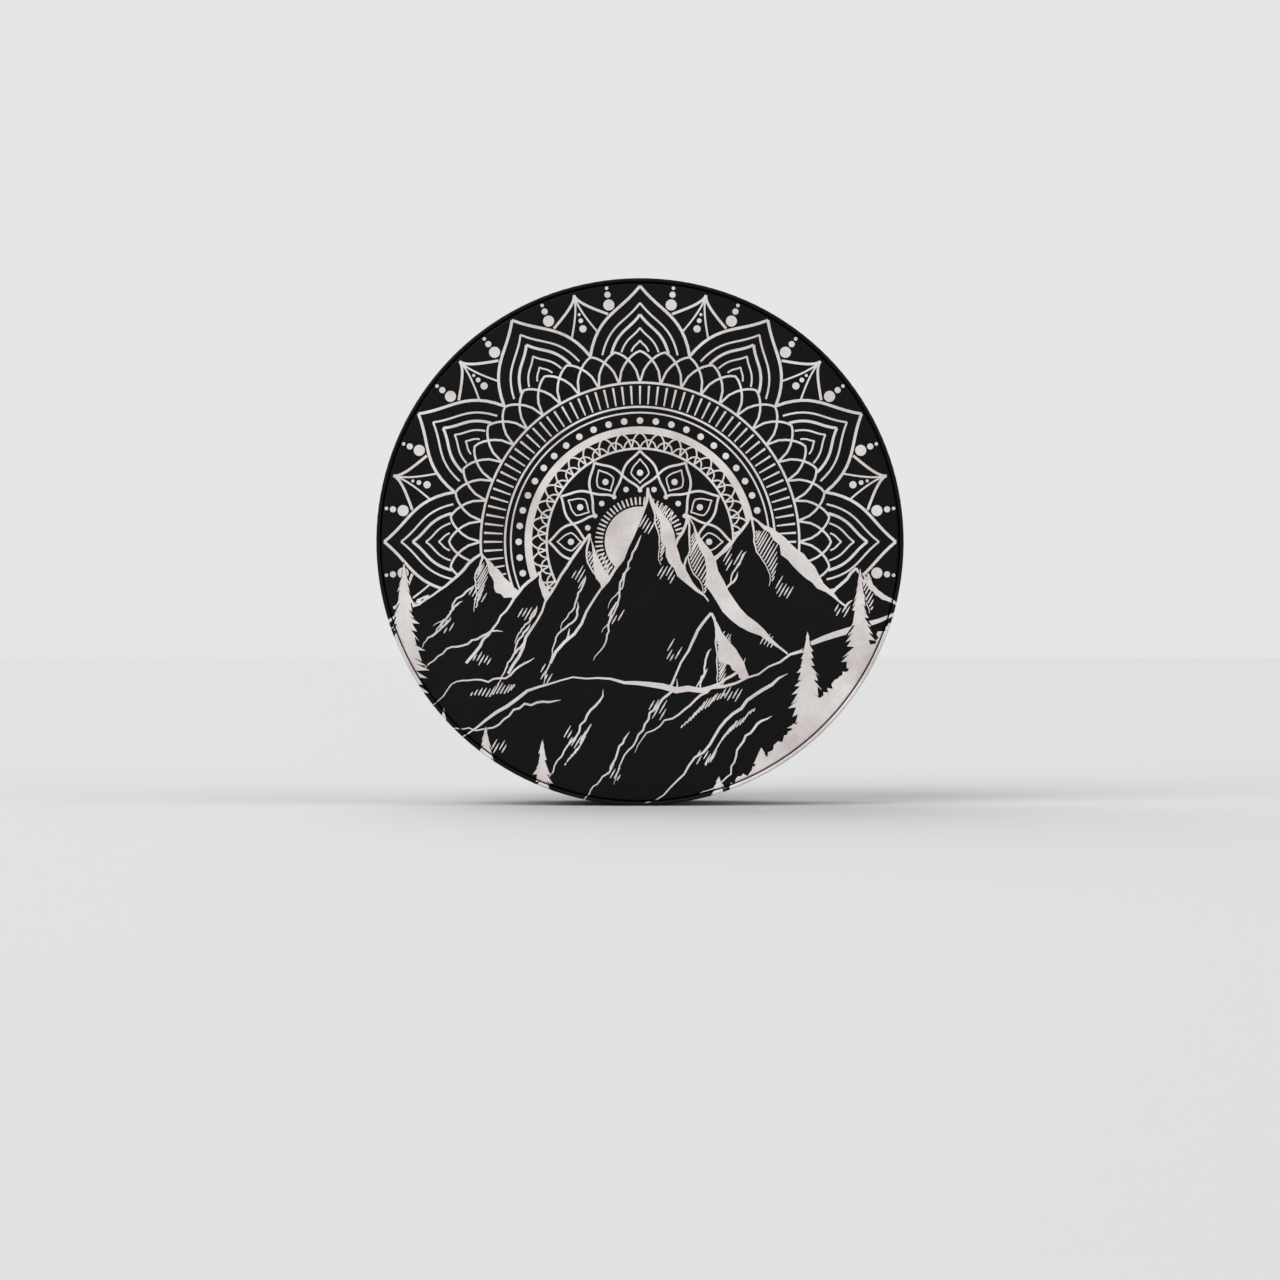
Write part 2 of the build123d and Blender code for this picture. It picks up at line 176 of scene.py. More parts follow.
def new_finish(name, **uniform):
    """A material, its shader, and the place on the object; even values go straight on the shader."""
    finish = bpy.data.materials.new(name)
    finish.use_nodes = True
    shader = finish.node_tree.nodes["Principled BSDF"]
    for socket, value in uniform.items():
        shader.inputs[socket.replace("_", " ")].default_value = value
    here = finish.node_tree.nodes.new("ShaderNodeTexCoord")
    return finish, shader, Signal(here.outputs["Object"])


def wire(shader, **signals):
    """Joins signals to the shader's sockets."""
    for socket, signal in signals.items():
        shader.id_data.links.new(signal.socket, shader.inputs[socket.replace("_", " ")])


def shade_of(mask, dark, light):
    """A colour that goes from dark to light as the mask goes from 0 to 1."""
    return mask.node(
        "ShaderNodeMix",
        {"data_type": "RGBA"},
        {0: mask, 6: (*dark, 1), 7: (*light, 1)},
        output=2,
    )


def noise(place, scale, detail=2.0, roughness=0.5):
    return place.node(
        "ShaderNodeTexNoise",
        sockets={"Vector": place, "Scale": scale, "Detail": detail, "Roughness": roughness},
    )


def relief(height, distance, strength=1.0):
    return height.node(
        "ShaderNodeBump", sockets={"Height": height, "Distance": distance, "Strength": strength}
    )


def part_of(place, axis):
    """One of the three numbers of a place: 0 across, 1 in depth, 2 up."""
    return place.node("ShaderNodeSeparateXYZ", sockets={0: place}, output=axis)


def turn_of(place):
    """How far round the wheel's axis a place lies."""
    return part_of(place, 2).math("ARCTAN2", part_of(place, 0))


def ribs(along, count):
    """Even ridges, as of woven yarns: count is in radians for each unit along."""
    return (along * count).math("SINE")


def leather_grain(place):
    """The pressed grain of coated cloth: small uneven pebbles with finer ones between them."""
    drift = noise(place, 260.0, 1.0)
    sideways = drift.node("ShaderNodeCombineXYZ", sockets={0: drift, 1: drift, 2: drift})
    shifted = place.node(
        "ShaderNodeVectorMath", {"operation": "MULTIPLY_ADD"}, {0: sideways, 1: (0.0012,) * 3, 2: place}
    )
    pebble = shifted.node(
        "ShaderNodeTexVoronoi", {"feature": "SMOOTH_F1"}, {"Vector": shifted, "Scale": 620.0}
    )
    fine = noise(place, 1900.0, 2.0, 0.6)
    return (1 - pebble) * 0.75 + fine * 0.25


def vinyl(name, gloss, dull, depth=1.0):
    """Black coated cloth with a pressed leather grain: its shine, roughness and depth of grey."""
    finish, shader, place = new_finish(name, Specular_IOR_Level=gloss)
    grain = leather_grain(place)
    wear = noise(place, 9.0, 4.0, 0.6)
    wire(
        shader,
        Base_Color=shade_of(wear, (0.0022 * depth,) * 3, (0.0062 * depth,) * 3),
        Roughness=dull + wear * 0.12 + grain * 0.08,
        Normal=relief(grain, 0.00016, 0.75),
    )
    return finish


band_finish = vinyl("band_vinyl", 0.42, 0.32)

knit_finish, knit_shader, knit_place = new_finish(
    "knitted_backing", Specular_IOR_Level=0.2, Sheen_Weight=0.25, Sheen_Roughness=0.5
)
knit_wale = ribs(turn_of(knit_place), 1900.0) * ribs(part_of(knit_place, 1), 5200.0)
knit_fuzz = noise(knit_place, 900.0, 3.0, 0.7)
wire(
    knit_shader,
    Base_Color=shade_of(knit_fuzz, (0.028, 0.028, 0.03), (0.075, 0.075, 0.078)),
    Roughness=0.86 + knit_fuzz * 0.1,
    Normal=relief(knit_wale * 0.5 + knit_fuzz, 0.00022, 0.8),
)


def placed(name, mesh, *finishes):
    """Puts a mesh in the scene as a piece with its finishes."""
    for finish in finishes:
        mesh.materials.append(finish)
    piece = bpy.data.objects.new(name, mesh)
    scene.collection.objects.link(piece)
    return piece


def on_wheel(turn, profile):
    """Points of (radius, depth) set at a turn round the wheel's axis, from straight up."""
    r, y = np.transpose(profile)
    return np.stack([r * math.sin(turn), y, r * math.cos(turn)], axis=1)


def from_rows(name, rows, finishes, closed_across=False, closed_along=True):
    """A mesh from rows of points; the rows follow one another round the wheel."""
    rows = np.asarray(rows, float)
    count, width = rows.shape[:2]
    faces = []
    for i in range(count if closed_along else count - 1):
        j = (i + 1) % count
        for k in range(width if closed_across else width - 1):
            m = (k + 1) % width
            faces.append((i * width + k, i * width + m, j * width + m, j * width + k))
    mesh = bpy.data.meshes.new(name)
    mesh.from_pydata(rows.reshape(-1, 3).tolist(), [], faces)
    mesh.shade_smooth()
    return placed(name, mesh, *finishes)


def with_wall(piece, thickness):
    """Gives a thin piece its thickness, evenly on both sides."""
    wall = piece.modifiers.new("wall", "SOLIDIFY")
    wall.thickness = thickness
    wall.offset = 0
    return wall


def as_made(piece):
    """The plain mesh that a piece's modifiers make."""
    bpy.context.view_layer.update()
    return bpy.data.meshes.new_from_object(
        piece.evaluated_get(bpy.context.evaluated_depsgraph_get())
    )


def settle(piece):
    """Turns a piece and its modifiers into a plain mesh with its faces outwards."""
    shape = as_made(piece)
    piece.modifiers.clear()
    piece.data = shape
    shape.name = piece.name
    form = bmesh.new()
    form.from_mesh(shape)
    bmesh.ops.remove_doubles(form, verts=form.verts, dist=1e-6)
    bmesh.ops.recalc_face_normals(form, faces=form.faces)
    form.to_mesh(shape)
    form.free()
    return piece


def wave(turn, count, seed):
    """Uneven ripples round the wheel, from -1 to 1: three near counts beat against each other."""
    draw = np.random.default_rng(seed)
    total = 0
    for share, change in ((0.55, 0), (0.3, 5), (0.15, -7)):
        total = total + share * np.sin((count + change) * turn + draw.uniform(0, 6.283))
    return total


gather_count = 84
folds_from_r, fold_depth = 0.372, 0.0052


def gathers(turn, radius):
    """How far the elastic has drawn the cloth in towards the tyre: folds that deepen towards the hem."""
    depth = np.clip((folds_from_r - radius) / (folds_from_r - return_inner_r), 0, 1.1) ** 1.3 * fold_depth
    x, z = np.abs(radius * np.sin(turn)), np.abs(radius * np.cos(turn))
    # Under the strap patches the cloth is held flat.
    held_flat = np.exp(-(((x - 0.2976) / 0.028) ** 2) - ((z - 0.170) / 0.026) ** 2)
    return depth * (0.5 + 0.5 * wave(turn, gather_count, 3)) ** 1.2 * (1 - held_flat)


# Half the band in steps across its width: (radius, depth) of the inner skin, from the seam to the hem.
tread = [(seat_r, y) for y in np.linspace(front_edge_y, shoulder_y, 40)]
bend = [
    (seat_r - shoulder_bend * (1 - math.cos(a)), shoulder_y + shoulder_bend * math.sin(a))
    for a in np.radians(np.linspace(6, 90, 15))
]
turned_in = [(r, return_y) for r in np.linspace(0.371, return_inner_r, 15)]
band_profile = np.array(tread + bend + turned_in)
band_across = np.gradient(band_profile, axis=0)
band_across /= np.linalg.norm(band_across, axis=1)[:, None]
band_outward = np.stack([band_across[:, 1], -band_across[:, 0]], axis=1)
middle_r, middle_y = (band_profile + band_outward * vinyl_wall / 2).T
# The front edge turns into the seam and lies against the welt's flange.
tucked_edge = [(0.4058, -0.1182), (0.4058, -0.1222), (0.4060, -0.1251), (0.4070, -0.12555)]
# The tread puckers a little at the seam and is slack between seam and shoulder.
on_tread = (np.arange(len(middle_r)) < len(tread)).astype(float)
pucker = 0.00055 * np.exp(-(middle_y - front_edge_y) / 0.02) * on_tread
slack = 0.00066 * np.sin(np.clip((middle_y + 0.12) / 0.24, 0, 1) * np.pi) * on_tread

eyelet_turn = math.radians(8)
eyelet_hole = 0.0046
for side, side_name in ((1, "right"), (-1, "left")):
    rows = []
    for turn in np.radians(np.linspace(0, 180, 541)):
        near_join = min(turn, np.pi - turn) * seat_r
        seam_dip = 0.0005 * math.exp(-((near_join / 0.0016) ** 2))
        r = middle_r + pucker * wave(turn, 118, 11) - seam_dip * on_tread
        r = r + slack * wave(turn + middle_y * 1.3, 9, 5) * min(1, near_join / 0.03)
        cloth = np.stack([r, middle_y - gathers(turn * side, r)], axis=1)
        rows.append(on_wheel(side * turn, np.concatenate([tucked_edge, cloth])))
    band = from_rows(f"band_{side_name}", rows, [band_finish, knit_finish], closed_along=False)
    form = bmesh.new()
    form.from_mesh(band.data)
    bmesh.ops.recalc_face_normals(form, faces=form.faces)
    if sum(f.normal.dot(f.calc_center_median()) for f in form.faces) < 0:
        bmesh.ops.reverse_faces(form, faces=form.faces)
    # The eyelet's hole: cells inside it are cut away and its edge is drawn to a true circle.
    hole_at = Vector((side * seat_r * math.sin(eyelet_turn), 0, -seat_r * math.cos(eyelet_turn)))
    gone = [f for f in form.faces if (f.calc_center_median() - hole_at).length < 0.0052]
    bmesh.ops.delete(form, geom=gone, context="FACES")
    for vertex in form.verts:
        away = vertex.co - hole_at
        if vertex.is_boundary and away.length < 0.009:
            flat = away - away.project(hole_at)
            vertex.co += flat.normalized() * eyelet_hole - flat
    form.to_mesh(band.data)
    form.free()
    with_wall(band, vinyl_wall).material_offset = 1
    settle(band)
    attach(band, "cover")
    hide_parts(f"side_band_{side_name}")

# ---- Face panel and its picture ----
# One disc of black coated cloth whose edge is rolled back into the front seam, pulled tight by the band.
# The picture is pale screen ink: a mandala that stands as a sun behind mountains and pines.
face_y = -0.1300
face_back_y = -0.1288
face_roll_r = 0.4010
face_seam_r = 0.4034
allowance_y = -0.1180
welt_start_r = 0.4052
bead_r, bead_y, bead_size = 0.4080, -0.1302, 0.0029
art_r = 0.4109


def polar(radius, degrees):
    """Points of the picture from a distance from its middle and an angle from straight up."""
    turn = np.radians(degrees)
    return np.stack(np.broadcast_arrays(radius * np.sin(turn), radius * np.cos(turn)), axis=-1)


def ribbon(line, width):
    """The outline of a brush stroke along a line; the width may change along it."""
    line = np.asarray(line, float)
    half = np.broadcast_to(width, len(line))[:, None] / 2
    along = np.gradient(line, axis=0)
    along /= np.maximum(np.linalg.norm(along, axis=1), 1e-9)[:, None]
    across = np.stack([-along[:, 1], along[:, 0]], axis=1) * half
    return np.concatenate([line + across, (line - across)[::-1]])


def disc(radius, centre=(0, 0), points=12):
    return polar(radius, np.arange(points) * 360 / points) + np.asarray(centre)


def new_tree(name, **inputs):
    """A new Geometry Nodes tree with a named input of each given kind; returns the inputs as signals."""
    tree = bpy.data.node_groups.new(name, "GeometryNodeTree")
    for label, kind in inputs.items():
        tree.interface.new_socket(
            label.replace("_", " "), in_out="INPUT", socket_type=f"NodeSocket{kind}"
        )
    tree.interface.new_socket("Made", in_out="OUTPUT", socket_type="NodeSocketGeometry")
    given = tree.nodes.new("NodeGroupInput")
    return {socket.name: Signal(socket) for socket in given.outputs if socket.name}


def end_tree(given, shape):
    """Ends a tree: its shape is made real and gets its finish."""
    real = shape.node("GeometryNodeRealizeInstances", sockets={0: shape})
    ready = real.node("GeometryNodeSetMaterial", sockets={"Geometry": real, "Material": given["Finish"]})
    tree = ready.socket.id_data
    tree.links.new(ready.socket, tree.nodes.new("NodeGroupOutput").inputs[0])
    return tree


def run_tree(piece, tree, inputs):
    """Hangs a tree on a piece, with the tree's inputs set by name."""
    maker = piece.modifiers.new("maker", "NODES")
    maker.node_group = tree
    for item in tree.interface.items_tree:
        if item.in_out == "INPUT" and item.name in inputs:
            maker[item.identifier] = inputs[item.name]


def turning_tree():
    """Copies a motif round the picture's middle."""
    given = new_tree("motif_round_middle", Motif="Geometry", Count="Int", Start="Float", Finish="Material")
    spots = given["Count"].node("GeometryNodePoints", sockets={"Count": given["Count"]})
    share = spots.node("GeometryNodeInputIndex").math("DIVIDE", given["Count"])
    angle = share.node(
        "ShaderNodeMath", {"operation": "MULTIPLY_ADD"}, {0: share, 1: math.tau, 2: given["Start"]}
    )
    spin = angle.node("ShaderNodeCombineXYZ", sockets={"Y": angle})
    copies = spots.node(
        "GeometryNodeInstanceOnPoints",
        sockets={"Points": spots, "Instance": given["Motif"], "Rotation": spin},
    )
    return end_tree(given, copies)


vinyl_finish = vinyl("face_vinyl", 0.12, 0.36, 0.55)
ink_finish, ink_shader, ink_place = new_finish("pale_print_ink", Specular_IOR_Level=0.3)
ink_cloud = noise(ink_place, 14.0, 5.0, 0.62)
ink_speck = noise(ink_place, 420.0, 3.0, 0.7)
ink_mottle = ink_cloud * 0.7 + ink_speck * 0.3
ink_stops = [
    (0.34, (0.475, 0.42, 0.402)),
    (0.5, (0.60, 0.555, 0.532)),
    (0.66, (0.71, 0.675, 0.652)),
]
wire(
    ink_shader,
    Base_Color=ink_mottle.node("ShaderNodeValToRGB", {"stops": ink_stops}, {"Fac": ink_mottle}),
    Roughness=0.5 + ink_speck * 0.16,
    Normal=relief(leather_grain(ink_place), 0.00013, 0.6),
)

motif_tree = turning_tree()


def around(shapes, count, start=0.0):
    """The outlines of a motif, copied round the picture's middle."""
    ends = np.cumsum([0] + [len(shape) for shape in shapes])
    mesh = bpy.data.meshes.new("motif")
    mesh.from_pydata(
        [(x, 0, z) for shape in shapes for x, z in shape],
        [],
        [list(range(first, last)) for first, last in zip(ends, ends[1:])],
    )
    holder = placed("motif", mesh)
    run_tree(
        holder, motif_tree, {"Count": count, "Start": math.radians(start), "Finish": ink_finish}
    )
    made = as_made(holder)
    where = np.empty(len(made.vertices) * 3)
    made.vertices.foreach_get("co", where)
    where = where.reshape(-1, 3)[:, [0, 2]]
    bpy.data.objects.remove(holder)
    return [where[list(p.vertices)] for p in made.polygons]


picture = []  # (outline, True for ink or False for bare cloth), the later over the earlier


def paint(shapes, inked=True):
    picture.extend((np.asarray(shape, float), inked) for shape in shapes)


def ogee(tip, foot, half_angle, points=13, swell=0.62):
    """The two sides of a pointed petal, each from its foot up to the tip."""
    share = np.linspace(0, 1, points)
    rise = swell * (1 - (1 - share) ** 2.9) + (1 - swell) * share**3.4
    radius = foot + (tip - foot) * rise
    return [polar(radius, side * half_angle * (1 - share)) for side in (-1, 1)]


def circle_line(radius, width, points=180):
    paint([disc(radius + width / 2, points=points)])
    paint([disc(radius - width / 2, points=points)], inked=False)


def petals(tip, foot, half_angle, width):
    """Twelve pointed petals in outline."""
    sides = ogee(tip * art_r, foot * art_r, half_angle)
    paint(around([ribbon(side, width) for side in sides], 12))


def dots(radius, size, count, start=0.0, points=12):
    paint(around([disc(size, (0, radius * art_r), points)], count, start))


# Twelve great petals in nested lines, with a small leaf between each two and dots towards the rim.
for petal in (
    (0.970, 0.728, 15.0, 0.0044),
    (0.906, 0.722, 11.4, 0.0030),
    (0.862, 0.722, 8.6, 0.0042),
    (0.812, 0.722, 5.6, 0.0028),
    (0.764, 0.722, 2.6, 0.0026),
):
    petals(*petal)
for tip, foot, spread, width in ((0.968, 0.872, 7.0, 0.0040), (0.964, 0.812, 3.6, 0.0028)):
    leaf_share = np.linspace(0, 1, 13)
    leaf_half = spread * (1 - leaf_share) ** 1.7
    leaf_radius = (foot + (tip - foot) * leaf_share) * art_r
    leaf = [ribbon(polar(leaf_radius, side * leaf_half), width) for side in (-1, 1)]
    paint(around(leaf, 12, 15))
for radius, size in ((0.906, 0.0088), (0.945, 0.0049), (0.970, 0.0028)):
    dots(radius, size, 24, 7.5)
for radius, size in ((0.836, 0.0058), (0.868, 0.0038), (0.892, 0.0024)):
    dots(radius, size, 12, 15, 10)

# A lace of crossing arches stands on a wheel of fine spokes.
arch_turn = np.linspace(-7.5, 7.5, 13)
arch_r = (0.604 + 0.120 * (1 - np.abs(arch_turn / 7.5) ** 1.35) ** 0.62) * art_r
paint(around([ribbon(polar(arch_r, arch_turn), 0.0034)], 24))
paint(around([ribbon(polar(arch_r, arch_turn), 0.0034)], 24, 7.5))
circle_line(0.604 * art_r, 0.0036)
spoke = polar(np.array([0.592, 0.522]) * art_r, 0)
paint(around([ribbon(spoke, [0.0034, 0.0022])], 108))
circle_line(0.512 * art_r, 0.0032)
circle_line(0.490 * art_r, 0.0026)
dots(0.460, 0.0052, 48)
circle_line(0.4235 * art_r, 0.0115)
scale_turn = np.linspace(-5, 5, 8)
scale_share = 1 - np.abs(scale_turn / 5) ** 1.5
scale_r = (0.356 + 0.058 * scale_share**0.6) * art_r
hollow = np.concatenate([polar(scale_r, scale_turn), polar(0.356 * art_r, scale_turn[::-1])])
paint(around([hollow], 36), inked=False)
lower_r = (0.356 + 0.032 * scale_share**0.6) * art_r
paint(around([ribbon(polar(lower_r, scale_turn), 0.0024)], 36, 5.0))
paint(around([ribbon(polar(scale_r, scale_turn), 0.0026)], 36))
circle_line(0.354 * art_r, 0.0034, 120)

# The flower in the middle: pointed lozenges, ticks and a full disc.
for petal in (
    (0.346, 0.262, 15.0, 0.0036),
    (0.315, 0.262, 7.5, 0.0022),
    (0.198, 0.262, 15.0, 0.0036),
    (0.222, 0.262, 7.5, 0.0022),
):
    petals(*petal)
dots(0.262, 0.0050, 12)
dots(0.196, 0.0036, 12, 0, 10)
dots(0.205, 0.0044, 12, 15, 10)
tick = polar(np.array([0.141, 0.170]) * art_r, 0)
paint(around([ribbon(tick, [0.0030, 0.0024])], 60))
paint([disc(0.134 * art_r, points=60)])

# The mountains: black faces with ridges, pale snow in the gullies and slanting strokes of shade.
hand = np.random.default_rng(23)
slant = np.array([0.50, 0.866])


def rough(start, end, shake, halvings=4):
    """A broken line from start to end, shaken a little at each halving."""
    line = np.array([start, end], float)
    for _ in range(halvings):
        step = line[1:] - line[:-1]
        middle = (line[1:] + line[:-1]) / 2
        middle = middle + np.stack([-step[:, 1], step[:, 0]], axis=1) * hand.uniform(
            -shake, shake, (len(middle), 1)
        )
        joined = np.empty((len(line) + len(middle), 2))
        joined[0::2], joined[1::2] = line, middle
        line = joined
    return line


def flowing(start, end, sway, points=17, shake=0.3):
    """A long ridge that winds gently from start to end."""
    share = np.linspace(0, 1, points)[:, None]
    start, end = np.array(start, float), np.array(end, float)
    step = end - start
    side = np.array([-step[1], step[0]])
    bends = hand.uniform(0.7, 1.3, 3) * (1.0, 0.5, 0.25)
    shift = sum(
        bend * np.sin(np.pi * (k + 1.6) * share + hand.uniform(0, 6.283))
        for k, bend in enumerate(bends)
    )
    shift = shift + hand.uniform(-shake, shake, (points, 1))
    return start + step * share + side * shift * sway * np.sin(np.pi * share) ** 0.5


def run_out(line, width, lead=0.12):
    """A stroke along a line that swells fast and then runs out to a point."""
    share = np.linspace(0, 1, len(line))
    swell = np.minimum(share / lead, 1) ** 0.6 * (1 - share) ** 0.55
    return ribbon(line, 0.0005 + width * swell)


def shade_strokes(base, reach, gap, width=0.0021):
    """Slanting strokes that stand on a line, each as long as the reach there."""
    lengths = np.linalg.norm(np.diff(base, axis=0), axis=1)
    total = np.concatenate([[0], np.cumsum(lengths)])
    found = []
    for at in np.arange(gap * 0.6, total[-1], gap):
        foot = np.array([np.interp(at, total, base[:, k]) for k in (0, 1)])
        size = np.interp(at / total[-1], np.linspace(0, 1, len(reach)), reach)
        size = size * hand.uniform(0.82, 1.12)
        if size > 0.003:
            stroke = [foot, foot + slant * size * 0.55, foot + slant * size]
            found.append(ribbon(stroke, [width, width, width * 0.5]))
    return found


def loose_strokes(middle, count, size):
    """A small group of slanting strokes of uneven length, side by side."""
    middle = np.array(middle) * art_r
    across = np.array([slant[1], -slant[0]])
    found = []
    for k in range(count):
        foot = middle + across * (k - count / 2) * 0.0056 + slant * hand.uniform(-0.35, 0.35) * size
        length = size * hand.uniform(0.55, 1.1)
        stroke = [foot, foot + slant * length / 2, foot + slant * length]
        found.append(ribbon(stroke, [0.0012, 0.0024, 0.0008]))
    return found


def mountain(apex, west, east, lean, snow, shade):
    """A mountain from its apex to both feet, with snow down its east slope and a shaded spine."""
    apex, west, east = (np.array(p) * art_r for p in (apex, west, east))
    left, right = rough(apex, west, 0.07), rough(apex, east, 0.07)
    paint([np.concatenate([left[::-1], right[1:], [(east[0], -art_r), (west[0], -art_r)]])], inked=False)
    share = np.linspace(0, 1, len(right))
    paint([ribbon(left, 0.0038 + 0.0008 * np.sin(share * 9))])
    # Snow lies under the east slope, thick in the middle and torn along its lower edge.
    torn = hand.uniform(0.75, 1.2, len(share))
    thick = snow * np.sin(np.pi * np.clip(share * 1.1 - 0.05, 0, 1)) ** 1.5 * torn
    inner = right + np.stack([-0.75 * thick, -0.65 * thick - 0.0036], axis=1)
    paint([np.concatenate([right, inner[::-1]])])
    spine = flowing(apex, (apex[0] + lean * art_r, apex[1] - shade), 0.05, 15)
    paint([ribbon(spine, np.linspace(0.0036, 0.0010, 15))])
    reach = np.array([0.0, 0.018, 0.034, 0.040, 0.030, 0.016, 0.0]) * min(1.0, shade / 0.10)
    paint(shade_strokes(spine[3:] + (0.0026, 0), reach, 0.0058))
    for k in range(3):
        root = apex + (west - apex) * (0.16 + 0.17 * k) + (0.014 + 0.009 * k, -0.030 - 0.004 * k)
        foot = root + (west - apex) * hand.uniform(0.30, 0.44) + (0.006, -0.010)
        paint([run_out(flowing(root, foot, 0.05), 0.0030)])


for apex, west, east, lean, snow, shade in (
    ((-0.60, -0.045), (-0.99, -0.34), (-0.40, -0.24), -0.03, 0.022, 0.09),
    ((0.82, -0.10), (0.52, -0.40), (1.00, -0.25), 0.05, 0.006, 0.07),
    ((0.42, 0.10), (0.10, -0.30), (0.78, -0.24), 0.07, 0.020, 0.11),
    ((-0.38, -0.115), (-0.66, -0.46), (-0.20, -0.36), 0.02, 0.021, 0.10),
    ((-0.19, 0.03), (-0.50, -0.50), (0.00, -0.38), 0.04, 0.024, 0.12),
    ((0.18, 0.105), (-0.02, -0.40), (0.56, -0.42), 0.05, 0.029, 0.13),
    ((0.03, 0.205), (-0.34, -0.46), (0.26, -0.22), 0.05, 0.018, 0.12),
    ((0.27, -0.27), (0.06, -0.66), (0.44, -0.56), 0.04, 0.026, 0.13),
):
    mountain(apex, west, east, lean, snow, shade)

# Long spurs run down to the left across the near slopes, with strokes of shade between them.
near_edge = flowing((0.99, -0.26), (-0.74, -0.78), 0.05, 41, 0.09) * art_r
near_slope = np.concatenate([near_edge, [(-0.6 * art_r, -art_r), (art_r, -art_r)]])
paint([near_slope], inked=False)
near_share = np.linspace(0, 1, 41)
near_width = 0.0024 + 0.0070 * np.abs(np.sin(near_share * 8.4 + 0.5)) ** 3
paint([ribbon(near_edge, near_width * (1 - near_share**5) + 0.0004)])
for start, end, sway, width, shaded in (
    ((-0.80, -0.20), (-0.97, -0.34), 0.05, 0.0026, 0),
    ((-0.52, -0.34), (-0.90, -0.48), 0.06, 0.0032, 0),
    ((-0.40, -0.44), (-0.80, -0.62), 0.06, 0.0030, 1),
    ((-0.30, -0.60), (-0.74, -0.72), 0.05, 0.0034, 0),
    ((-0.14, -0.56), (-0.36, -0.96), 0.06, 0.0034, 1),
    ((0.14, -0.52), (-0.10, -0.92), 0.07, 0.0036, 0),
    ((0.40, -0.44), (-0.02, -0.80), 0.05, 0.0040, 1),
    ((0.56, -0.50), (0.02, -0.99), 0.05, 0.0052, 1),
    ((0.50, -0.66), (0.22, -0.96), 0.06, 0.0036, 0),
    ((-0.04, -0.72), (-0.22, -1.00), 0.06, 0.0030, 0),
):
    ridge = flowing(start, end, sway, 21) * art_r
    paint([run_out(ridge, width)])
    if shaded:
        paint(shade_strokes(ridge[4:13] - (0.0, 0.024), [0.004, 0.016, 0.020, 0.014, 0.004], 0.0060))
for x, z, count, size in (
    (-0.62, -0.22, 5, 0.020), (-0.74, -0.34, 4, 0.018), (-0.44, -0.30, 4, 0.022), (-0.60, -0.46, 5, 0.018),
    (-0.24, -0.16, 4, 0.024), (-0.36, -0.52, 4, 0.018), (0.02, 0.04, 4, 0.028), (0.10, -0.14, 5, 0.024),
    (-0.10, -0.30, 4, 0.020), (0.34, -0.10, 5, 0.026), (0.54, -0.20, 5, 0.022), (0.12, -0.44, 4, 0.020),
    (-0.54, -0.80, 4, 0.018), (-0.26, -0.76, 5, 0.022), (0.06, -0.66, 5, 0.022), (0.34, -0.60, 5, 0.024),
    (-0.10, -0.90, 4, 0.018), (0.24, -0.84, 5, 0.020), (0.76, -0.28, 4, 0.020), (0.48, -0.40, 4, 0.018),
):
    paint(loose_strokes((x, z), count, size))


# The pines: full pale shapes with ragged boughs, run together into a pale bank at the lower right.
def pine(foot, tall, wide, tiers):
    """The outline of one pine, with ragged boughs that widen downwards."""
    foot = np.array(foot) * art_r
    tall, wide = tall * art_r, wide * art_r
    sides = []
    for side in (1, -1):
        edge = [foot + (0, tall)]
        for tier in range(1, tiers + 1):
            share = (tier / tiers) ** 0.85
            out = wide / 2 * share * hand.uniform(0.62, 1.12)
            level = tall * (1 - tier / tiers)
            edge.append(foot + (side * out, level - 0.004 * hand.uniform(-0.6, 1.6)))
            edge.append(foot + (side * out * hand.uniform(0.45, 0.7), level + 0.0012))
        sides.append(edge)
    return np.array(sides[0] + sides[1][::-1][:-1])


def pines(spots):
    for x, z, tall, wide, tiers in spots:
        shape = pine((x, z), tall, wide, tiers)
        trunk = np.array([x, z + tall / 2]) * art_r
        paint([trunk + (shape - trunk) * (1.16, 1.03)], inked=False)
        paint([shape])


pines(
    [
        (-0.895, -0.62, 0.54, 0.22, 21),
        (-0.745, -0.80, 0.17, 0.07, 7),
        (-0.585, -0.92, 0.22, 0.12, 9),
        (-0.37, -1.02, 0.27, 0.12, 10),
        (0.30, -1.03, 0.14, 0.11, 6),
        (0.835, -0.84, 0.74, 0.25, 27),
        (0.46, -0.98, 0.20, 0.18, 9),
        (0.635, -1.00, 0.66, 0.27, 25),
        (0.735, -0.90, 0.28, 0.24, 11),
    ]
)
bank_turn = np.linspace(108, 160, 79)
bank_teeth = 0.012 * hand.uniform(-1, 1, 79)
bank_swell = 0.085 * np.sin(np.radians((bank_turn - 108) * 180 / 52)) ** 1.2
bank_inner = polar((0.985 - bank_swell + bank_teeth) * art_r, bank_turn)
paint([np.concatenate([bank_inner, polar(1.02 * art_r, bank_turn[::-1])])])


def inside(points, outline):
    """Which points lie inside an outline."""
    low, high = outline.min(axis=0), outline.max(axis=0)
    near = np.flatnonzero(((points >= low) & (points <= high)).all(axis=1))
    hit = np.zeros(len(points), bool)
    if len(near) == 0:
        return hit
    px, pz = points[near, 0][:, None], points[near, 1][:, None]
    ax, az = outline[:, 0], outline[:, 1]
    bx, bz = np.roll(ax, -1), np.roll(az, -1)
    rise = np.where(bz == az, 1e-12, bz - az)
    crosses = ((az > pz) != (bz > pz)) & (px < (bx - ax) * (pz - az) / rise + ax)
    hit[near] = crosses.sum(axis=1) % 2 == 1
    return hit


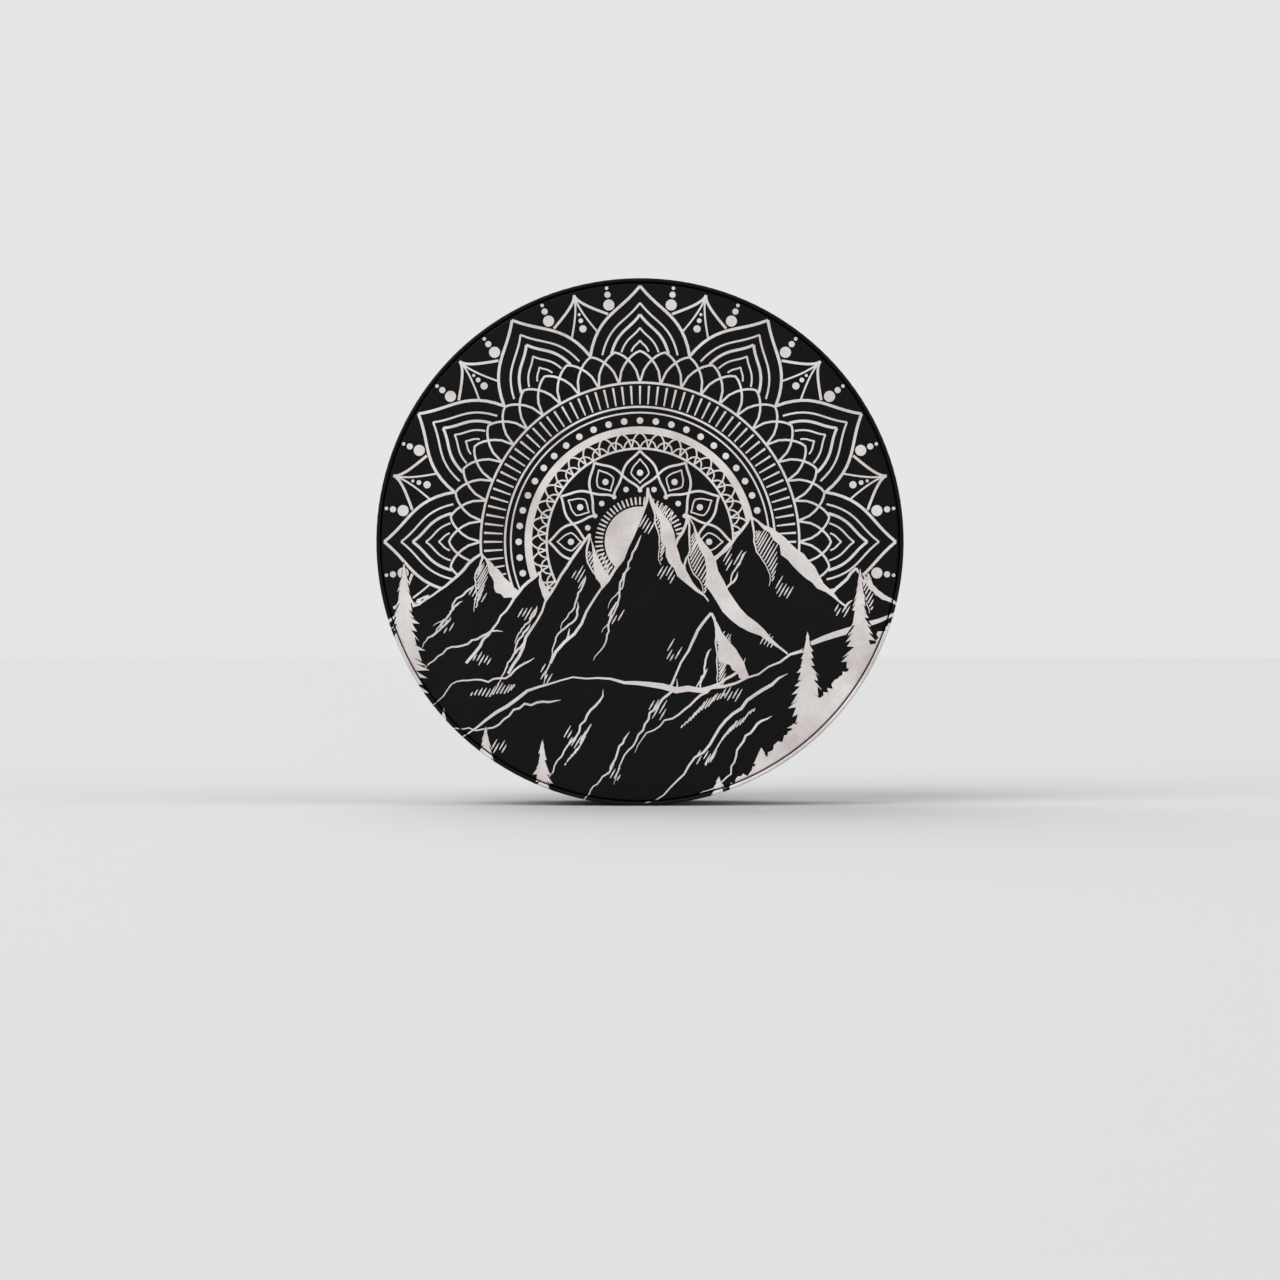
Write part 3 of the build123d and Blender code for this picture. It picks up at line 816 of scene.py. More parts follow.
# Shapes that later bare cloth covers whole are left out before the panel is divided along the rest.
covers = [
    (k, shape)
    for k, (shape, inked) in enumerate(picture)
    if not inked and np.ptp(shape[:, 0]) > 0.08
]
shown = []
for k, (shape, inked) in enumerate(picture):
    probe = np.concatenate([shape, shape + (np.roll(shape, -1, axis=0) - shape) / 2])
    if any(later > k and inside(probe, cover).all() for later, cover in covers):
        continue
    shown.append((shape, inked))

# Rings close together carry the rolled edge and the welt's bead.
ring_radii = [0.4000, 0.4018, 0.4028, 0.4034, 0.4052, 0.4058, 0.4066]
ring_radii += [0.4076, 0.4086, 0.4095, 0.4102, 0.4107, 0.41085]
corners, seams = [], []
for radius in ring_radii:
    first = len(corners)
    corners.extend(disc(radius, points=480))
    seams.extend((first + i, first + (i + 1) % 480) for i in range(480))
for shape, inked in shown:
    if np.linalg.norm(shape, axis=1).min() > 0.4108:
        continue
    first = len(corners)
    corners.extend(shape)
    seams.extend((first + i, first + (i + 1) % len(shape)) for i in range(len(shape)))
step = 0.011
grid = np.stack(np.meshgrid(np.arange(-37, 38), np.arange(-42, 43)), axis=-1).reshape(-1, 2) * step
grid = grid * (1, 0.866) + np.where(np.arange(len(grid)) // 75 % 2, 0.5, 0)[:, None] * (step, 0)
corners.extend(grid[np.linalg.norm(grid, axis=1) < 0.396])
divided = delaunay_2d_cdt([Vector(c) for c in corners], seams, [], 0, 2e-6, False)
points, triangles = divided[0], divided[2]
points = np.array([tuple(p) for p in points])
triangles = np.array([t for t in triangles if len(t) == 3])
middles = points[triangles].mean(axis=1)
from_middle = np.linalg.norm(middles, axis=1)
inked_here = np.zeros(len(triangles), bool)
for shape, inked in shown:
    inked_here[inside(middles, shape)] = inked
on_panel = from_middle < face_seam_r
on_bead = (from_middle > welt_start_r) & (from_middle < 0.41085)


def front_y(flat, lift=0.0):
    """The depth of the outer skin, or of a coat lifted off it: panel, rolled edge, then the welt's bead."""
    r = np.linalg.norm(flat, axis=1)
    turn = np.arctan2(flat[:, 0], flat[:, 1])
    tight = np.exp(-(face_seam_r - np.minimum(r, face_seam_r)) / 0.016)
    ripple = 0.00042 * tight * wave(turn, 96, 21)
    sag = 0.0005 * np.cos(r * 13 + 0.6) * np.sin(turn * 3 + 1.1) * (r / 0.4) ** 2 * (1 - tight)
    rolled = np.clip((r - face_roll_r) / (face_seam_r - face_roll_r), 0, 1)
    panel = face_y + ripple * (1 - rolled) + sag + 0.0017 * (1 - np.sqrt(np.maximum(1 - rolled**2, 0)))
    swell = bead_size + lift + 0.00012 * wave(turn, 150, 33)
    bead = bead_y - np.sqrt(np.maximum(swell**2 - (r - bead_r) ** 2, 0))
    return np.where(r <= face_seam_r + 1e-6, panel - lift, bead)


def from_flat(name, chosen, lift, finish):
    """A skin over the chosen triangles of the picture, lifted off the cloth towards the front."""
    used, order = np.unique(triangles[chosen], return_inverse=True)
    flat = points[used]
    spots = np.stack([flat[:, 0], front_y(flat, lift), flat[:, 1]], axis=1)
    mesh = bpy.data.meshes.new(name)
    mesh.from_pydata(spots.tolist(), [], order.reshape(-1, 3).tolist())
    piece = placed(name, mesh, finish)
    form = bmesh.new()
    form.from_mesh(mesh)
    for f in form.faces:
        if f.normal.y > 0:
            f.normal_flip()
        f.smooth = True
    return piece, form


face, form = from_flat("face", on_panel, 0.0, vinyl_finish)
rim = [e for e in form.edges if e.is_boundary]
for radius, y in ((0.4034, -0.1262), (0.4034, allowance_y), (0.4022, allowance_y), (0.4022, face_back_y)):
    grown = bmesh.ops.extrude_edge_only(form, edges=rim)["geom"]
    rim = [g for g in grown if isinstance(g, bmesh.types.BMEdge) and g.is_boundary]
    for vertex in {v for e in rim for v in e.verts}:
        turn = math.atan2(vertex.co.x, vertex.co.z)
        vertex.co = (radius * math.sin(turn), y, radius * math.cos(turn))
bmesh.ops.contextual_create(form, geom=rim)
bmesh.ops.recalc_face_normals(form, faces=form.faces)
form.to_mesh(face.data)
form.free()
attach(face, "cover")
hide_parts("face_panel")

face_print, form = from_flat("face_print", inked_here & (on_panel | on_bead), 0.00009, ink_finish)
lips = [e for e in form.edges if e.is_boundary]
for lip in lips:
    lip.smooth = False
grown = bmesh.ops.extrude_edge_only(form, edges=lips)["geom"]
for vertex in (g for g in grown if isinstance(g, bmesh.types.BMVert)):
    vertex.co.y += 0.00012
for f in (g for g in grown if isinstance(g, bmesh.types.BMFace)):
    f.smooth = False
form.to_mesh(face_print.data)
form.free()
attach(face_print, "cover")

# ---- Fleece behind the face ----
# A soft pale fleece is bonded to the back of the face, so that the tyre doesn't mark the vinyl.
# It stops just inside the front seam.
fleece_finish, fleece_shader, fleece_place = new_finish(
    "grey_fleece", Specular_IOR_Level=0.1, Sheen_Weight=0.5, Sheen_Roughness=0.6
)
fleece_nap = noise(fleece_place, 160.0, 5.0, 0.72)
fleece_cloud = noise(fleece_place, 11.0, 3.0, 0.55)
wire(
    fleece_shader,
    Base_Color=shade_of(
        fleece_nap * 0.6 + fleece_cloud * 0.4, (0.17, 0.17, 0.175), (0.34, 0.34, 0.345)
    ),
    Roughness=0.9 + fleece_nap * 0.08,
    Normal=relief(fleece_nap, 0.0011, 0.8),
)
fleece_r, fleece_y = 0.4021, -0.1280
fleece_steps = np.concatenate([np.linspace(0, 0.385, 22), np.linspace(0.388, fleece_r, 8)])
rows = []
for turn in np.radians(np.arange(0, 360, 1.5)):
    nap = np.abs(0.00022 * wave(turn, 61, 8) * (fleece_steps / fleece_r) ** 3)
    near = np.stack([fleece_steps, fleece_y - nap], axis=1)
    far = np.stack([fleece_steps[::-1], np.full(len(fleece_steps), -0.12875)], axis=1)
    rows.append(on_wheel(turn, np.concatenate([near, far])))
backing = settle(from_rows("fleece_backing", rows, [fleece_finish]))
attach(backing, "cover")
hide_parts("face_backing")

# ---- Welt ----
# A soft cord is wrapped in a narrow strip of the same vinyl, whose doubled edge goes into the front seam.
# The bead stands proud of the face and the band, and the print runs over it.
cord_finish, cord_shader, cord_place = new_finish("braided_cord", Specular_IOR_Level=0.2)
cord_plait = ribs(turn_of(cord_place) * 1500.0 + part_of(cord_place, 1) * 1900.0, 1.0)
wire(
    cord_shader,
    Base_Color=shade_of(cord_plait * 0.5 + 0.5, (0.42, 0.41, 0.38), (0.66, 0.65, 0.62)),
    Roughness=0.8 + cord_plait * 0.05,
    Normal=relief(cord_plait, 0.0003),
)
bead_arc = np.radians(np.linspace(153, 477, 29))
flange = [(0.40518, -0.12610), (0.40518, -0.1181), (0.40342, -0.1181), (0.40342, -0.12690)]
rows = []
for turn in np.arange(720) / 720 * math.tau:
    swell = bead_size + 0.00012 * wave(turn, 150, 33)
    bead = [(bead_r + swell * math.cos(a), bead_y + swell * math.sin(a)) for a in bead_arc]
    rows.append(on_wheel(turn, bead + flange))
welt = settle(from_rows("welt", rows, [vinyl_finish], closed_across=True))
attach(welt, "cover")
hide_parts("welt_cover")
cord_size = 0.00185
round_cord = np.arange(12) / 12 * math.tau
rows = []
for turn in np.arange(540) / 540 * math.tau:
    twist = cord_size * (1 + 0.05 * np.sin(3 * round_cord + turn * 260))
    plait = [bead_r + twist * np.cos(round_cord), bead_y + twist * np.sin(round_cord)]
    rows.append(on_wheel(turn, np.transpose(plait)))
welt_filler = settle(from_rows("welt_filler", rows, [cord_finish], closed_across=True))
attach(welt_filler, "cover")
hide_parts("welt_core")

# ---- Front seam binding ----
# Ribbed tape is folded over the raw edges of face, welt and band inside the cover and sewn through.
# Its two edges waver a little, as tape does when it is led round a curve.
ribbed_finish, ribbed_shader, ribbed_place = new_finish(
    "ribbed_tape", Specular_IOR_Level=0.25, Sheen_Weight=0.15
)
ribbed_line = ribs(turn_of(ribbed_place), 2300.0)
ribbed_fuzz = noise(ribbed_place, 700.0, 3.0, 0.6)
wire(
    ribbed_shader,
    Base_Color=shade_of(
        ribbed_fuzz * 0.6 + ribbed_line * 0.2 + 0.2, (0.008, 0.008, 0.009), (0.026, 0.026, 0.028)
    ),
    Roughness=0.68 + ribbed_fuzz * 0.12,
    Normal=relief(ribbed_line + ribbed_fuzz * 0.6, 0.00018),
)
binding_loop = [
    (0.4013, -0.1240), (0.4013, -0.1177), (0.4015, -0.11725), (0.4020, -0.1171), (0.4066, -0.1171),
    (0.4071, -0.11725), (0.4073, -0.1177), (0.4073, -0.1240), (0.4065, -0.1240), (0.4065, -0.1179),
    (0.4021, -0.1179), (0.4021, -0.1240),
]
rows = []
for turn in np.arange(720) / 720 * math.tau:
    waver = 0.0003 * wave(turn, 74, 14)
    rows.append(
        on_wheel(turn, [(r, y + waver * (1 if y < -0.12 else 0.3)) for r, y in binding_loop])
    )
binding = settle(from_rows("seam_binding", rows, [ribbed_finish], closed_across=True))
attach(binding, "cover")
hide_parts("front_seam_binding")

# ---- Tapes over the band's joins ----
# Inside, a flat tape covers each join of the two band strips, from the front binding to the shoulder.
# It is laid on the knitted side and sewn down along both edges.
def laid(name, spots, thickness, finish):
    """A sheet from a grid of middle points, given its thickness evenly on both sides."""
    piece = from_rows(name, spots, [finish], closed_along=False)
    with_wall(piece, thickness)
    edge = piece.modifiers.new("edge", "BEVEL")
    edge.width = thickness * 0.28
    edge.segments = 2
    edge.limit_method = "ANGLE"
    return settle(piece)


tape_r = 0.40748
for where, up in (("top", 1), ("bottom", -1)):
    spots = []
    for y in np.linspace(-0.1149, 0.0938, 60):
        turns = (np.linspace(-0.0119, 0.0119, 9) + 0.0003 * math.sin(y * 60)) / 0.4075
        lift = 0.00012 * np.sin(y * 400 + turns * 30)
        height = up * (tape_r + lift) * np.cos(turns)
        spots.append(np.stack([tape_r * np.sin(turns), np.full(9, y), height], axis=1))
    join_tape = laid(f"join_tape_{where}", spots, 0.0008, ribbed_finish)
    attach(join_tape, "cover")
    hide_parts(f"band_join_tape_{where}")

# ---- Drain eyelets ----
# Two rolled metal eyelets let rain out at the lowest part of the band, each side of the bottom join.
# Each goes through a square patch inside and is closed over a washer.
metal_finish, metal_shader, metal_place = new_finish("eyelet_nickel", Specular_IOR_Level=0.5)
metal_haze = noise(metal_place, 240.0, 4.0, 0.6)
metal_scratch = noise(metal_place, 2600.0, 1.0)
wire(
    metal_shader,
    Base_Color=shade_of(metal_haze, (0.50, 0.48, 0.45), (0.70, 0.68, 0.65)),
    Roughness=0.2 + metal_haze * 0.16 + metal_scratch * 0.06,
    Metallic=metal_haze * 0.02 + 0.97,
    Normal=relief(metal_scratch, 0.00002),
)


def turned_on_band(name, profile, finish, steps=40):
    """Turns a closed profile for both eyelets: (distance out from its axis, height over the wheel's)."""
    spots, faces = [], []
    for side in (-1, 1):
        axis = np.array([side * math.sin(eyelet_turn), 0, -math.cos(eyelet_turn)])
        first, second = np.array([0, 1.0, 0]), np.cross(axis, [0, 1.0, 0])
        base = len(spots)
        for i in range(steps):
            a = i / steps * math.tau
            spots.extend(axis * h + (first * math.cos(a) + second * math.sin(a)) * r for r, h in profile)
        width = len(profile)
        for i in range(steps):
            here, there = base + i * width, base + (i + 1) % steps * width
            for k in range(width):
                m = (k + 1) % width
                faces.append([here + k, there + k, there + m, here + m])
    mesh = bpy.data.meshes.new(name)
    mesh.from_pydata([tuple(s) for s in spots], [], faces)
    mesh.shade_smooth()
    return settle(placed(name, mesh, finish))


rolled = [
    (0.0040, 0.40600), (0.0040, 0.40930), (0.0042, 0.40975), (0.0048, 0.41003), (0.0060, 0.41010),
    (0.0078, 0.41000), (0.0090, 0.40965), (0.0095, 0.40930), (0.0094, 0.40922), (0.0088, 0.40921),
    (0.0046, 0.40925), (0.0046, 0.40600), (0.0043, 0.40594),
]
eyelets = turned_on_band("rolled_eyelets", rolled, metal_finish)
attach(eyelets, "cover")
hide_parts("drain_eyelets")
dished = [
    (0.00475, 0.40610), (0.0050, 0.40596), (0.0072, 0.40592), (0.0091, 0.40606), (0.0095, 0.40640),
    (0.0094, 0.40670), (0.0072, 0.40674), (0.0050, 0.40674), (0.00475, 0.40660),
]
washers = turned_on_band("dished_washers", dished, metal_finish)
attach(washers, "cover")
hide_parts("drain_washers")

patch_form = bmesh.new()
for side in (-1, 1):
    made = bmesh.ops.create_circle(patch_form, radius=0.00475, segments=32)["verts"]
    edges = list(dict.fromkeys(e for v in made for e in v.link_edges))
    # Ring by ring, the round hole widens to the patch's rounded square.
    for half_side, power in ((0.0085, 4.0), (0.0130, 7.6), (0.01795, 10.0)):
        added = bmesh.ops.extrude_edge_only(patch_form, edges=edges)["geom"]
        edges = [g for g in added if isinstance(g, bmesh.types.BMEdge) and g.is_boundary]
        for v in (g for g in added if isinstance(g, bmesh.types.BMVert)):
            a = math.atan2(v.co.y, v.co.x)
            reach = (abs(math.cos(a)) ** power + abs(math.sin(a)) ** power) ** (-1 / power)
            v.co.x, v.co.y = half_side * reach * math.cos(a), half_side * reach * math.sin(a)
    for v in [v for v in patch_form.verts if v.co.z == 0]:
        bend_turn = side * eyelet_turn + v.co.x / 0.4074
        v.co = (0.4074 * math.sin(bend_turn), v.co.y, -0.4074 * math.cos(bend_turn))
patch_mesh = bpy.data.meshes.new("eyelet_backs")
patch_form.to_mesh(patch_mesh)
patch_form.free()
patch_mesh.shade_smooth()
eyelet_backs = placed("eyelet_backs", patch_mesh, knit_finish)
with_wall(eyelet_backs, 0.00098)
settle(eyelet_backs)
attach(eyelet_backs, "cover")
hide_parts("eyelet_patches")

# ---- Elastic hem ----
# The band's back edge is gripped by a folded casing of ribbed tape with flat elastic in it.
# The elastic draws the hem together, so casing and band stand in small even folds.
casing_near_y, casing_far_y = 0.12695, 0.13025


def hem_fold(turn, radius):
    """The casing keeps to the band's folds, with finer pleats of its own."""
    fine = 0.00028 * (0.5 + 0.5 * wave(turn, 2 * gather_count, 17))
    return gathers(turn, radius) + fine


def drawn_in(turn, loop, fold):
    """A loop of (radius, depth) at a turn, drawn in by a fold."""
    r, y = np.transpose(loop)
    return on_wheel(turn, np.stack([r, y - fold(turn, r)], axis=1))


casing_loop = [
    (0.3131, 0.1270), (0.3090, 0.12695), (0.3045, 0.12705), (0.3030, 0.1273), (0.3005, 0.12690),
    (0.2965, 0.12680), (0.2925, 0.12690), (0.2899, 0.12735), (0.2890, 0.12820), (0.2890, 0.12905),
    (0.2899, 0.12990), (0.2925, 0.13022), (0.2965, 0.13030), (0.3005, 0.13022), (0.3030, 0.12990),
    (0.3045, 0.13010), (0.3090, 0.13022), (0.3131, 0.1302), (0.3131, 0.12950), (0.3131, 0.12780),
]
for side, side_name in ((1, "right"), (-1, "left")):
    rows = [
        drawn_in(side * turn, casing_loop, hem_fold) for turn in np.radians(np.linspace(0, 180, 505))
    ]
    casing = from_rows(
        f"casing_{side_name}", rows, [ribbed_finish], closed_across=True, closed_along=False
    )
    form = bmesh.new()
    form.from_mesh(casing.data)
    bmesh.ops.holes_fill(form, edges=[e for e in form.edges if e.is_boundary])
    form.to_mesh(casing.data)
    form.free()
    settle(casing)
    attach(casing, "cover")
    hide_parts(f"hem_casing_upper_{side_name}", f"hem_casing_lower_{side_name}")
    band = bpy.data.objects[f"band_{side_name}"]

elastic_finish, elastic_shader, elastic_place = new_finish("braided_elastic", Specular_IOR_Level=0.2)
elastic_across, elastic_up = part_of(elastic_place, 0), part_of(elastic_place, 2)
elastic_rib = ribs((elastic_across * elastic_across + elastic_up * elastic_up) ** 0.5, 4200.0)
elastic_pick = ribs(turn_of(elastic_place), 1500.0)
wire(
    elastic_shader,
    Base_Color=shade_of(
        elastic_rib * 0.35 + elastic_pick * 0.15 + 0.5, (0.45, 0.45, 0.44), (0.72, 0.72, 0.70)
    ),
    Roughness=0.75 + elastic_rib * 0.05,
    Normal=relief(elastic_rib + elastic_pick * 0.5, 0.0002),
)
elastic_loop = [
    (0.2902, 0.1281), (0.2960, 0.12795), (0.3018, 0.1281),
    (0.3018, 0.1291), (0.2960, 0.12925), (0.2902, 0.1291),
]
rows = [drawn_in(turn, elastic_loop, gathers) for turn in np.arange(1008) / 1008 * math.tau]
hem_band = settle(from_rows("hem_band", rows, [elastic_finish], closed_across=True))
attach(hem_band, "cover")
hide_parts("hem_elastic")

# ---- Care label ----
# A small blank label of white satin, cut from a ribbon.
# It is sewn along its edge to the inside of the band, above the mouth.
satin_finish, satin_shader, satin_place = new_finish("white_satin", Sheen_Weight=0.3)
satin_float = ribs(part_of(satin_place, 0), 9000.0) * ribs(part_of(satin_place, 2), 2600.0)
satin_soil = noise(satin_place, 60.0, 4.0)
wire(
    satin_shader,
    Base_Color=shade_of(satin_soil, (0.66, 0.655, 0.63), (0.80, 0.80, 0.785)),
    Roughness=0.36 + satin_soil * 0.12,
    Normal=relief(satin_float, 0.00005),
)


def on_inside(x, z, depth):
    """A point that lies on the folds of the turned-in cloth."""
    return x, depth - float(gathers(math.atan2(x, z), math.hypot(x, z))), z


spots = [
    [
        on_inside(x, z, 0.12772 - 0.0002 * math.sin(z * 300) ** 2)
        for x in np.linspace(-0.0198, 0.0198, 21)
    ]
    for z in np.linspace(0.3213, 0.3489, 15)
]
label = laid("blank_label", spots, 0.00036, satin_finish)
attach(label, "cover")
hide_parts("care_label")

# ---- Strap patches ----
# Four patches with rounded corners, cut from the same vinyl as the band.
# They are sewn flat on the turned-in back, where the strap ends are fixed.
patch_x, patch_z, patch_y = 0.29763, 0.170, 0.1298
patch_half_x, patch_half_z, patch_corner = 0.022, 0.020, 0.005
patch_places = [(x * patch_x, z * patch_z) for x in (-1, 1) for z in (-1, 1)]


def rounded(half_wide, half_tall, corner, steps):
    """The outline of a flat shape with rounded corners, with the way outwards at each point."""
    found = []
    for quarter, (across, up) in enumerate(((1, 1), (-1, 1), (-1, -1), (1, -1))):
        for a in np.radians(np.linspace(0, 90, steps) + 90 * quarter):
            x = across * (half_wide - corner) + corner * math.cos(a)
            z = up * (half_tall - corner) + corner * math.sin(a)
            found.append((x, z, math.cos(a), math.sin(a)))
    return found


patch_form = bmesh.new()
for px, pz in patch_places:
    outline = rounded(patch_half_x, patch_half_z, patch_corner, 7)
    patch_form.faces.new([patch_form.verts.new((px + x, patch_y, pz + z)) for x, z, _, _ in outline])
patch_mesh = bpy.data.meshes.new("strap_backs")
patch_form.to_mesh(patch_mesh)
patch_form.free()
strap_backs = placed("strap_backs", patch_mesh, band_finish)
with_wall(strap_backs, 0.0010)
edge = strap_backs.modifiers.new("edge", "BEVEL")
edge.width = 0.00032
edge.segments = 2
settle(strap_backs)
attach(strap_backs, "cover")
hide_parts("strap_patches")

# ---- Securing straps ----
# Flat woven webbing runs from each patch to the buckle. On the left it goes round the socket's bar and
# comes back as a loose end; on the right it goes round the insert's bar and is sewn back on itself.
weave_finish, weave_shader, weave_place = new_finish(
    "woven_webbing", Specular_IOR_Level=0.3, Sheen_Weight=0.2
)
weave_end = ribs(part_of(weave_place, 2), 3900.0)
weave_cross = ribs(part_of(weave_place, 0), 3100.0) * weave_end
weave_fuzz = noise(weave_place, 1300.0, 2.0)
wire(
    weave_shader,
    Base_Color=shade_of(
        weave_cross * 0.3 + weave_fuzz * 0.4 + 0.3, (0.008, 0.008, 0.009), (0.03, 0.03, 0.032)
    ),
    Roughness=0.5 + weave_fuzz * 0.2,
    Normal=relief(weave_cross + weave_end * 0.4, 0.00022),
)


def strip_tree():
    """Sweeps a flat woven strip along a route with rounded turns."""
    sizes = {size: "Float" for size in ("Width", "Thickness", "Turn_radius", "Edge_radius", "Spacing")}
    given = new_tree("woven_strip", Route="Geometry", **sizes, Finish="Material")
    line = given["Route"].node("GeometryNodeMeshToCurve", sockets={0: given["Route"]})
    for kind, settings, sockets in (
        ("GeometryNodeFilletCurve", {"mode": "POLY"}, {"Count": 7, "Radius": given["Turn radius"]}),
        ("GeometryNodeResampleCurve", {"mode": "LENGTH"}, {"Length": given["Spacing"]}),
        ("GeometryNodeSetCurveNormal", {"mode": "Z_UP"}, {}),
    ):
        line = line.node(kind, settings, {"Curve": line, **sockets})
    section = line.node(
        "GeometryNodeCurvePrimitiveQuadrilateral",
        sockets={"Width": given["Thickness"], "Height": given["Width"]},
    )
    section = section.node(
        "GeometryNodeFilletCurve",
        {"mode": "POLY"},
        {"Curve": section, "Count": 3, "Radius": given["Edge radius"]},
    )
    sweep = line.node(
        "GeometryNodeCurveToMesh",
        sockets={"Curve": line, "Profile Curve": section, "Fill Caps": True},
    )
    return end_tree(given, sweep)


def grown(name, tree, lines, inputs, closed=False):
    """Runs a tree on lines of points and keeps what it makes as a plain mesh."""
    spots, edges = [], []
    for line in lines:
        first = len(spots)
        spots.extend(line)
        edges.extend((first + i, first + i + 1) for i in range(len(line) - 1))
        if closed:
            edges.append((len(spots) - 1, first))
    mesh = bpy.data.meshes.new(name)
    mesh.from_pydata(spots, edges, [])
    piece = placed(name, mesh)
    run_tree(piece, tree, inputs)
    settle(piece)
    piece.data.shade_smooth()
    return piece


strip = strip_tree()
strip_sizes = {
    "Width": 0.025,
    "Thickness": 0.0015,
    "Turn radius": 0.00242,
    "Edge radius": 0.0006,
    "Spacing": 0.0008,
    "Finish": weave_finish,
}
# Each route goes from the patch to the buckle, round its bar, and back on top of the first ply.
left_route = [
    (-0.31663, 0.1312), (-0.02555, 0.1312), (-0.02555, 0.1361),
    (-0.0396, 0.1361), (-0.050, 0.13275), (-0.150, 0.13275),
]
right_route = [
    (0.31663, 0.1312), (0.02855, 0.1312), (0.02855, 0.1361),
    (0.0326, 0.1361), (0.044, 0.13275), (0.083, 0.13275),
]
for strap, height in (("upper", 0.17), ("lower", -0.17)):
    left_line = [(x, y, height) for x, y in left_route]
    left_strip = grown(f"{strap}_strap_left", strip, [left_line], strip_sizes)
    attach(left_strip, "cover")
    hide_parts(f"{strap}_webbing_left")
    right_line = [(x, y, height) for x, y in right_route]
    right_strip = grown(f"{strap}_strap_right", strip, [right_line], strip_sizes)
    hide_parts(f"{strap}_webbing_right")
    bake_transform(right_strip)

# ---- Buckles ----
# Side-release buckles moulded in black acetal: a socket on the left strap, an insert on the right one,
# and two springy prongs that stand in the socket's side windows.
acetal_finish, acetal_shader, acetal_place = new_finish("moulded_acetal", Specular_IOR_Level=0.45)
acetal_flow = noise(acetal_place, 90.0, 3.0, 0.55)
acetal_spark = noise(acetal_place, 3400.0, 2.0)
wire(
    acetal_shader,
    Base_Color=shade_of(acetal_flow, (0.009, 0.009, 0.0095), (0.018, 0.018, 0.019)),
    Roughness=0.36 + acetal_flow * 0.12 + acetal_spark * 0.08,
    Normal=relief(acetal_spark, 0.00005),
)
for strap in ("upper", "lower"):
    for part in ("buckle_socket", "buckle_insert", "prong_high", "prong_low"):
        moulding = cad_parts[f"{strap}_{part}"]
        if not moulding.material_slots:
            moulding.data.materials.append(acetal_finish)
        for place_in_mesh in moulding.material_slots:
            place_in_mesh.material = acetal_finish

# ---- Tail keepers ----
# A short loop of black ribbed elastic, with its ends sewn together, goes round both plies of a left strap.
# It slides along them and holds the loose end down.
loop_finish, loop_shader, loop_place = new_finish(
    "black_elastic", Specular_IOR_Level=0.2, Sheen_Weight=0.2
)
loop_rib = ribs(part_of(loop_place, 0), 5200.0)
loop_pick = ribs(part_of(loop_place, 2), 3300.0)
wire(
    loop_shader,
    Base_Color=shade_of(
        loop_rib * 0.3 + loop_pick * 0.15 + 0.5, (0.009, 0.009, 0.010), (0.034, 0.034, 0.036)
    ),
    Roughness=0.72 + loop_rib * 0.06,
    Normal=relief(loop_rib + loop_pick * 0.4, 0.0002),
)
keeper_x, keeper_low_y, keeper_high_y = -0.110, 0.12965, 0.1343
keeper_half_z, keeper_half_long, keeper_corner = 0.0135, 0.0059, 0.0016
keeper_y = (keeper_low_y + keeper_high_y) / 2
# Across the loop: how far along the strap and how far out of the loop's middle line, in shares.
keeper_section = [
    (-1, 0.15), (-0.97, 0.5), (-0.5, 0.56), (0, 0.6), (0.5, 0.56), (0.97, 0.5), (1, 0.15),
    (1, -0.15), (0.97, -0.5), (0, -0.55), (-0.97, -0.5), (-1, -0.15),
]
for strap, height in (("upper", 0.17), ("lower", -0.17)):
    rows = [
        [
            (
                keeper_x + share * keeper_half_long,
                keeper_y + y + out_y * ply * 0.001,
                height + z + out_z * ply * 0.001,
            )
            for share, ply in keeper_section
        ]
        for y, z, out_y, out_z in rounded(keeper_high_y - keeper_y, keeper_half_z, keeper_corner, 6)
    ]
    keeper = settle(from_rows(f"{strap}_keeper_loop", rows, [loop_finish], closed_across=True))
    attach(keeper, f"{strap}_keeper")
    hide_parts(f"{strap}_tail_keeper")

# ---- Stitching ----
# Black bonded thread: two rows round the hem casing, rows beside the band's joins, a row through the
# binding, round the label and the patches, and a crossed box on each strap end.
thread_finish, thread_shader, thread_place = new_finish("bonded_thread", Specular_IOR_Level=0.5)
thread_ply = noise(thread_place, 2400.0, 1.0)
wire(
    thread_shader,
    Base_Color=shade_of(thread_ply, (0.02, 0.02, 0.021), (0.06, 0.06, 0.062)),
    Roughness=0.45 + thread_ply * 0.2,
    Normal=relief(thread_ply, 0.0001),
)


def stitch_tree():
    """Lays short stitches end to end along a route."""
    sizes = {size: "Float" for size in ("Pitch", "Stitch", "Thread")}
    given = new_tree("stitch_row", Route="Geometry", **sizes, Finish="Material")
    line = given["Route"].node("GeometryNodeMeshToCurve", sockets={0: given["Route"]})
    line = line.node(
        "GeometryNodeResampleCurve", {"mode": "LENGTH"}, {"Curve": line, "Length": given["Pitch"]}
    )
    along = line.node("GeometryNodeInputTangent")
    lined = along.node("FunctionNodeAlignRotationToVector", {"axis": "X"}, {"Vector": along})
    bead = line.node(
        "GeometryNodeMeshUVSphere", sockets={"Segments": 6, "Rings": 4, "Radius": 0.5}
    )
    thread, stitch_long = given["Thread"], given["Stitch"]
    size = thread.node("ShaderNodeCombineXYZ", sockets={"X": stitch_long, "Y": thread, "Z": thread})
    laid_down = line.node(
        "GeometryNodeInstanceOnPoints",
        sockets={"Points": line, "Instance": bead, "Rotation": lined, "Scale": size},
    )
    return end_tree(given, laid_down)


